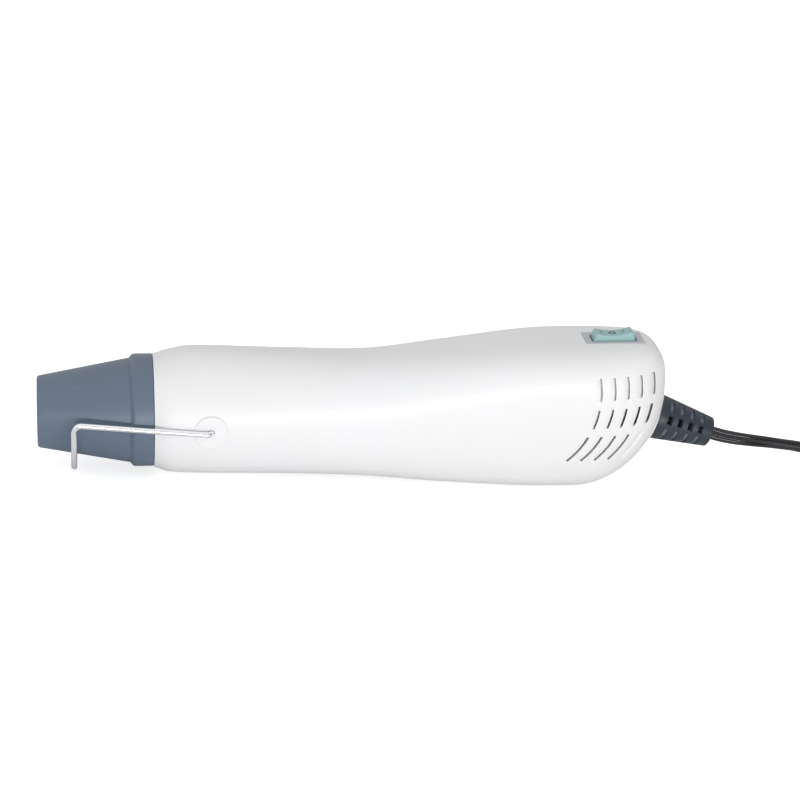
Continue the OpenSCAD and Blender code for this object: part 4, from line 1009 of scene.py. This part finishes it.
def make_nozzle():
    """Cone and collar, each a profile turned round the fan's axis."""
    back, lip = CONE_LEN + OVERLAP, LIP_R + LIP_T
    cone = rounded([(LIP_R, 0), (OUTLET_R, 0), (CONE_R, CONE_LEN), (CONE_R, back), (CONE_R - SHEET, back),
                    (CONE_R - SHEET, CONE_LEN), (lip + 0.2, 1.2), (lip, 1.2), (lip, LIP_LEN),
                    (LIP_R, LIP_LEN)],
                   (0.35, 1.25, 0, 0, 0, 0, 0, 0, 0.1, 0.2), 7)
    start, inner = CONE_LEN + 0.2, CONE_R + 0.08
    neck, end, step = BODY_X + 4.6, BODY_X + 6.4, back + 0.3
    collar = rounded([(inner, start), (COLLAR_R - COLLAR_EDGE, start), (COLLAR_R, start + COLLAR_EDGE),
                      (COLLAR_R, BODY_X), (NECK_R, BODY_X), (NECK_R, neck), (CONE_R, neck), (CONE_R, end),
                      (COLLAR_BORE, end), (COLLAR_BORE, step), (inner, step)],
                     (0.08, 0.3, 1.2, 0.3, 0, 0, 0.2, 0.2, 0, 0, 0), 7)
    for node, profile in (("nozzle_cone", cone), ("nozzle_collar", collar)):
        shape = turn(profile, (0, 0, 0), (1, 0, 0), (0, 0, 1), 160)
        new_solid(node + "_skin", [shape], "housing", "nozzle_slate", [node])


make_nozzle()

# Wire stand, with its bends from an end to the middle, and a direction that it never runs along
STAND_X, STAND_HALF, STAND_DROP, STAND_RISE = PIVOT_X - 53, 22.9, 18.9, 3.1
STAND_END_Y, ARM_Y = 23.5, PAD_Y + WIRE_R + 0.95
STAND_BENDS, STAND_UP = (2.2, 3.0, 14.0), (0.31, 0.11, 0.94)


def make_stand():
    """From an end in its pad along the arm, down and across in front of the barrel, and back."""
    corners = [(PIVOT_X, -STAND_END_Y, 0), (PIVOT_X, -ARM_Y, 0), (STAND_X, -STAND_HALF, STAND_RISE),
               (STAND_X, -STAND_HALF, -STAND_DROP), (STAND_X, STAND_HALF, -STAND_DROP),
               (STAND_X, STAND_HALF, STAND_RISE), (PIVOT_X, ARM_Y, 0), (PIVOT_X, STAND_END_Y, 0)]
    line = filled(bent_line(corners, STAND_BENDS + STAND_BENDS[::-1], 0.5))
    wire = carried(line, circle(WIRE_R, 28), STAND_UP)
    new_solid("stand_wire", [wire], "stand", "wire_steel", ["wire_stand"], smooth=60)


make_stand()


# Switch, with how far the rocker's hollow top rises to its ends, and how much more to the back
HOLLOW, HOLLOW_BACK = 1.4, 0.3


def dish_height(x):
    """The rocker's top: a hollow that rises to both ends, a little more to the back."""
    t = x / (ROCKER_LEN / 2 - 1)
    return PANEL_Z + ROCKER_HEIGHT - ROCKER_AT[2] + HOLLOW * t ** 2 + HOLLOW_BACK * t


def make_rocker():
    """The cap is its outline in X and Z, carried across, and two pins carry it."""
    half, top = ROCKER_LEN / 2, ROCKER_LEN / 2 - 1
    low, high, n = 0.5, 1.9, 37
    x = np.concatenate([[top], np.linspace(top - 1.9, 1.9 - top, n), [-top]])
    dish = np.stack([x, dish_height(x)], -1)
    outline = np.vstack([[(3 - half, -1.5), (half - 3, -1.5), (half, low), (half, high)], dish,
                         [(-half, high), (-half, low)]])
    outline = rounded(outline, [0] * 3 + [0.6, 1.1] + [0] * n + [1.1, 0.6, 0])
    x, z = outline.T
    cap = np.stack([np.stack([x, 0 * x + y, z], -1) for y in (-ROCKER_WIDTH / 2, ROCKER_WIDTH / 2)])
    piece = new_solid("rocker_cap", [(cap + ROCKER_AT, tube(2, len(x)))], "rocker", "rocker_mint",
                      ["switch_rocker"], smooth=50)
    bevel(piece, width=0.55, segments=5, angle=25, smooth=50)
    pins = [rod(ROCKER_AT + 2.8 * hand * ACROSS, (0, hand, 0), 2.2, 1.0, 32) for hand in (-1, 1)]
    new_solid("rocker_pins", pins, "rocker", "rocker_mint")


# How far the ink goes into the rocker's dish, and how far it stands proud
INK_LOW, INK_HIGH = -0.02, 0.03


def mark_bar(middle, half_x, half_y, n=6):
    """A thin bar of ink that follows the rocker's dish."""
    x = middle + np.linspace(-half_x, half_x, n)
    rows = [np.stack([x, 0 * x + y, dish_height(x) + lift], -1)
            for y, lift in ((-half_y, INK_LOW), (half_y, INK_LOW), (half_y, INK_HIGH), (-half_y, INK_HIGH))]
    return np.stack(rows, 1) + ROCKER_AT, tube(n, 4)


def mark_ring(middle, radius, width, steps=40):
    """A flat ring of ink that follows the rocker's dish."""
    rows, inner = [], radius - width
    for r, lift in ((radius, INK_LOW), (radius, INK_HIGH), (inner, INK_HIGH), (inner, INK_LOW)):
        x, y = (circle(r, steps) + (middle, 0)).T
        rows.append(np.stack([x, y, dish_height(x) + lift], -1))
    return np.stack(rows) + ROCKER_AT, ring_tube(4, steps)


def make_marks():
    """One bar, a ring and two bars, for the slow, off and fast ends of the rocker."""
    marks = [mark_bar(-4.9, 0.2, 0.95), mark_ring(-0.6, 1.5, 0.62), mark_bar(3.3, 0.16, 0.85),
             mark_bar(4.15, 0.16, 0.85)]
    new_solid("rocker_marks", marks, "rocker", "inner_black", finish="mark_ink")


def make_panel():
    """From the floor of the well that the rocker tips in, up and over the plate round it, and down
    the housing below, as outlines joined one to the next."""
    plate = rounded_box(PANEL_LEN / 2, PANEL_WIDTH / 2, 0.6)
    hole = rounded_box(ROCKER_LEN / 2 + 0.6, ROCKER_WIDTH / 2 + 0.3, 0.6)
    housing = rounded_box(PANEL_LEN / 2 - 1.5, 5.4, 0.6)
    floor, under, foot, inner_edge, edge = ROCKER_AT[2] - 3, PANEL_Z - PANEL_T, 11.0, 0.2, 0.25
    layers = [(hole, floor), (hole, PANEL_Z - inner_edge), (hole + np.sign(hole) * inner_edge, PANEL_Z),
              (plate - np.sign(plate) * edge, PANEL_Z), (plate, PANEL_Z - edge), (plate, under),
              (housing, under), (housing, foot)]
    shape = panel_layers(layers), tube(len(layers), len(plate))
    new_solid("switch_panel", [shape], "housing", "switch_grey", ["switch_housing"], smooth=30)


make_rocker()
make_marks()
make_panel()

# Strain relief: a taper with four grooves across it, shallow above and below and open to the
# lead in the middle. A sector is its two angles from the top towards the near side, and its kind
GROOVE_COUNT, GROOVE_FIRST, GROOVE_PITCH, GROOVE_WIDTH, GROOVE_DEPTH = 4, 5.7, 4.7, 1.9, 1.1
GROOVE_SECTORS = [(9, 50, 0), (60, 87, 1), (100, 152, 0), (189, 230, 0), (240, 267, 1), (280, 332, 0)]
WINDOW_R, WINDOW_WIDER, CUTTER_R = 3.5, 0.4, 14.0


def relief_radius(back):
    """Radius of the taper at a distance back from its tip."""
    return RELIEF_TIP + (RELIEF_ROOT - RELIEF_TIP) * back / TAPER_LEN


def groove_cutters():
    """Each groove is a row of sectors of a ring, a being the angle."""
    cutters = []
    for i in range(GROOVE_COUNT):
        back = GROOVE_FIRST + i * GROOVE_PITCH
        for low, high, window in GROOVE_SECTORS:
            inner = WINDOW_R if window else relief_radius(back) - GROOVE_DEPTH
            half = (GROOVE_WIDTH + WINDOW_WIDER * window) / 2
            a = np.radians(np.linspace(low, high, 14))[:, None]
            spoke = np.cos(a) * RELIEF_UP - np.sin(a) * ACROSS
            corners = [RELIEF_AT - (back + side) * RELIEF_DIR + r * spoke
                       for r, side in ((inner, half), (CUTTER_R, half), (CUTTER_R, -half), (inner, -half))]
            cutters.append((np.stack(corners, 1), tube(14, 4)))
    return cutters


def make_relief():
    """A turned taper with its flange, less the grooves."""
    profile = rounded([(0.01, 0), (FLANGE_R, 0), (FLANGE_R, FLANGE_T), (RELIEF_ROOT, FLANGE_T),
                       (RELIEF_ROOT, RELIEF_LEN - TAPER_LEN), (RELIEF_TIP, RELIEF_LEN), (0.01, RELIEF_LEN)],
                      (0, 0.3, 0.3, 0.1, 2.0, 0.5, 0))
    shape = turn(profile, RELIEF_BACK, RELIEF_DIR, RELIEF_UP, 144, closed=False)
    relief = new_solid("relief_taper", [shape], "housing", "relief_grey", ["strain_relief"])
    cut(relief, groove_cutters())
    bevel(relief, width=0.14, segments=2, angle=40)


make_relief()

# Inside: the wound heating wire and the insulated wires, drawn smooth
HELIX_TURNS, HELIX_PITCH, HELIX_R, HELIX_WIRE_R, HELIX_X = 9, 6.0, 9.9, 0.8, 18.3
CORE_R, CORE_OFFSET, TAIL_IN = 0.7, 1.4, 12.0
TERMINAL_X, TERMINAL_Z = 6.0, 6.8
BOARD_X, DUCT_X, MOTOR_END_X, CHANNEL_Z = 158.1, 88.1, 152.1, -20.9
HOLDER_X = DUCT_X - 2


def make_heating_wire():
    """A helix round the crossed plates: x = start + pitch * t, y = r cos t, z = r sin t."""
    t = np.linspace(0, HELIX_TURNS, HELIX_TURNS * 40 + 1)
    angle = 2 * math.pi * t
    line = np.stack([HELIX_X + HELIX_PITCH * t, HELIX_R * np.cos(angle), HELIX_R * np.sin(angle)], -1)
    helix = carried(line, circle(HELIX_WIRE_R, 12), (1.0, 0.0, 0.0))
    new_solid("heating_helix", [helix], "housing", "heater_alloy", ["heating_wire"])


def to_heater(y):
    """Along the channel under the motor and the fan to the element holder, at a place across."""
    board, low = (BOARD_X + 14, y, -15), CHANNEL_Z + 1
    return [board, (BOARD_X + 3, y, -17.5), (MOTOR_END_X + 1, y, low), (MOTOR_END_X - 6, y, CHANNEL_Z),
            (DUCT_X + 14, y, CHANNEL_Z), (HOLDER_X + 4, y, CHANNEL_Z), (HOLDER_X + 1.5, y, low),
            (HOLDER_X + 1, y, CHANNEL_Z + 4), (HOLDER_X + 1, y, -13), (HOLDER_X + 0.6, y, -10.6),
            (HOLDER_X - 0.1, y, -8), (HOLDER_X - 0.1, y, -3.6)]


def make_wires():
    """The two cores of the lead to the switch and the heater, the switch's own wires, and the
    lead's tail inside the body."""
    tail_end = RELIEF_BACK - TAIL_IN * RELIEF_DIR
    upper, lower = tail_end + CORE_OFFSET * RELIEF_UP, tail_end - CORE_OFFSET * RELIEF_UP
    x, z, back, front = PANEL_X, TERMINAL_Z, PANEL_X + TERMINAL_X, PANEL_X - TERMINAL_X
    runs = [
        [upper, upper - 2 * RELIEF_DIR, (x - 8, -1, 4), (front, 0, z - 2), (front, 0, z)],
        [lower, lower - 2 * RELIEF_DIR, (HEEL_X + 4, 0.8, -4), (HEEL_X - 4, 1.4, -10), *to_heater(1.4)],
        [(back, 0, z), (back, 0, z - 0.8), (x + 3.6, 2.6, z - 1.6), (x - 1, 5, 4.4), (x - 8, 8, 1),
         (HEEL_X + 4, 7, -6), (HEEL_X - 6, 2, -11), *to_heater(-1.4)],
        [(x, 0, z), (x, 0, z - 1.4), (x - 5, 3, 4.6), (x - 14, 4, 6), (HEEL_X, 3, 10),
         (BOARD_X + 18, 1.5, 10), (BOARD_X + 6, 0, 9.6), (BOARD_X + 1.4, 0, 9.6)]]
    wires = [carried(bent_wire(run), circle(CORE_R, 12), (0.2, 1.0, 0.3)) for run in runs]
    new_solid("inner_wires", wires, "housing", "lead_black", ["lead_wires"], smooth=60)
    tail = carried(np.linspace(RELIEF_BACK, tail_end, 8), twin_section(), (0.0, 0.0, 1.0))
    new_solid("inner_lead", [tail], "housing", "lead_black", ["cord_tail"], smooth=60)


make_heating_wire()
make_wires()

# Inside the halves: ribs as front, back and bore, and the switch's bed as boxes about its middle
RIBS = [(46.1, 49.8, 20.1), (77.9, 80.0, 19.1), (86.2, 87.7, 19.1), (100.7, 103.2, 19.5),
        (120.1, 122.6, 19.5), (149.1, 151.6, 12.1)]
BED_BOXES = [((-14, 5.6, 23.2), (14, 8.6, 25.9)), ((-14, 0.05, 23.2), (-10.7, 5.6, 25.9)),
             ((10.7, 0.05, 23.2), (14, 5.6, 25.9))]
INSIDE = WALL - 0.4
PILOT_R, BOSS_R = 1.16, 3.2


def rib_band(front, back, bore, hand):
    """Half a ring between two places along the body: from the bore out to inside the skin."""
    a = np.linspace(0, math.pi, 61)
    rim = [skin(0 * a + x, a, INSIDE, hand) for x in (front, back)]
    hollow = [np.stack([0 * a + x, hand * bore * np.sin(a), bore * np.cos(a)], -1) for x in (back, front)]
    return np.stack(rim + hollow, 1), tube(61, 4)


def relief_seat(hand):
    """Half a collar with a slot for the strain relief's flange, on the relief's own axis."""
    bore, outer, slot = RELIEF_ROOT + 0.2, RELIEF_ROOT + 3.2, FLANGE_R + 0.1
    start, stop, slot_start, slot_stop = 7.0, -1.5, FLANGE_T + 0.2, -0.2
    profile = [(bore, start), (outer, start), (outer, stop), (bore, stop), (bore, slot_stop),
               (slot, slot_stop), (slot, slot_start), (bore, slot_start)]
    t = np.linspace(0, math.pi, 41)[:, None]
    spoke = np.cos(t) * RELIEF_UP + hand * np.sin(t) * ACROSS
    points = np.stack([RELIEF_BACK + s * RELIEF_DIR + r * spoke for r, s in profile], 1)
    return points, tube(41, len(profile))


def make_insides(name, hand):
    """Ribs, the strain relief's seat and the switch's bed of one half, and the near half's bosses."""
    shapes = [rib_band(*rib, hand) for rib in RIBS]
    if hand < 0:
        profile = [(BOSS_R, 0.05), (BOSS_R, None), (PILOT_R, None), (PILOT_R, 0.05)]
        shapes += [post(x, z, profile, INSIDE, 36, hand) for x, z in SCREWS]
    shapes.append(relief_seat(hand))
    for corners in BED_BOXES:
        points, faces = box(*corners)
        shapes.append((points * (1, hand, 1) + (PANEL_X, 0, 0), faces))
    new_solid(name, shapes, "housing", "body_white")


make_insides("left_ribs", -1)
make_insides("right_ribs", 1)

# Every CAD node gets the finish of its slot, also where it shows inside a piece
for row in frame["record"]["subparts"]:
    mesh = frame["nodes"][row["node"]].data
    mesh.materials.clear()
    mesh.materials.append(MATERIALS[row["material_slot"]])

# Floor, backdrop and light
FLOOR_HALF = 3.0
FLOOR_BASE, FLOOR_GLOW, FLOOR_FILL = 0.8, 0.7, 0.06
SKY_LEVEL, SKY_SLOPE = 0.51, (-0.24, 0.05, 0.4)
STRIP_PLACE, STRIP_AIM = (0.22, -1.5, 0.04), (0.0, 0.0, 0.03)
STRIP_WIDE, STRIP_HIGH, STRIP_POWER = 1.7, 0.18, 18.0


def seen_ray(tree):
    """1 for what the camera sees, straight or through something clear, and 0 for other light."""
    path = add_node(tree, "LightPath", {}).outputs
    return maths(tree, "MAXIMUM", path["Is Camera Ray"], path["Is Transmission Ray"])


def floor_white():
    """A plain pale surface that the camera sees raised to white, shadow kept, and that lights what
    stands on it a little from below."""
    floor = Finish("floor_white", (FLOOR_BASE,) * 3, 0.9, Specular_IOR_Level=0.0, Emission_Color=(1, 1, 1, 1))
    floor.change("Emission Strength", remap(floor.tree, seen_ray(floor.tree), 0, 1, FLOOR_FILL, FLOOR_GLOW))
    return floor.material


def make_stage():
    """A square floor under the tool."""
    corners = [(-1, -1, 0), (1, -1, 0), (1, 1, 0), (-1, 1, 0)]
    floor = mesh_object("floor", FLOOR_HALF * np.array(corners), [(0, 1, 2, 3)])
    floor.data.materials.append(floor_white())


def make_light():
    """A sky whose brightness rises evenly along its slope, and a low strip light, which throws the
    wire's shadow upwards and draws a bright line along round things."""
    world = bpy.data.worlds.new("studio")
    bpy.context.scene.world = world
    world.use_nodes = True
    tree = world.node_tree
    way = add_node(tree, "TexCoord", {}).outputs["Generated"]
    rise = add_node(tree, "VectorMath", {0: way, 1: SKY_SLOPE}, operation="DOT_PRODUCT").outputs["Value"]
    sky = maths(tree, "ADD", rise, SKY_LEVEL)
    background = tree.nodes["Background"].inputs
    background["Color"].default_value = (1, 1, 1, 1)
    feed(tree, background["Strength"], maths(tree, "MAXIMUM", seen_ray(tree), sky))
    strip = bpy.data.lights.new("strip", "AREA")
    strip.shape = "RECTANGLE"
    strip.size, strip.size_y, strip.energy = STRIP_WIDE, STRIP_HIGH, STRIP_POWER
    lamp = link(bpy.data.objects.new("strip", strip))
    lamp.location = STRIP_PLACE
    lamp.rotation_euler = (Vector(STRIP_AIM) - Vector(STRIP_PLACE)).to_track_quat("-Z", "Y").to_euler()


make_stage()
make_light()
bpy.context.scene.view_settings.view_transform = "Standard"

bpy.context.view_layer.update()
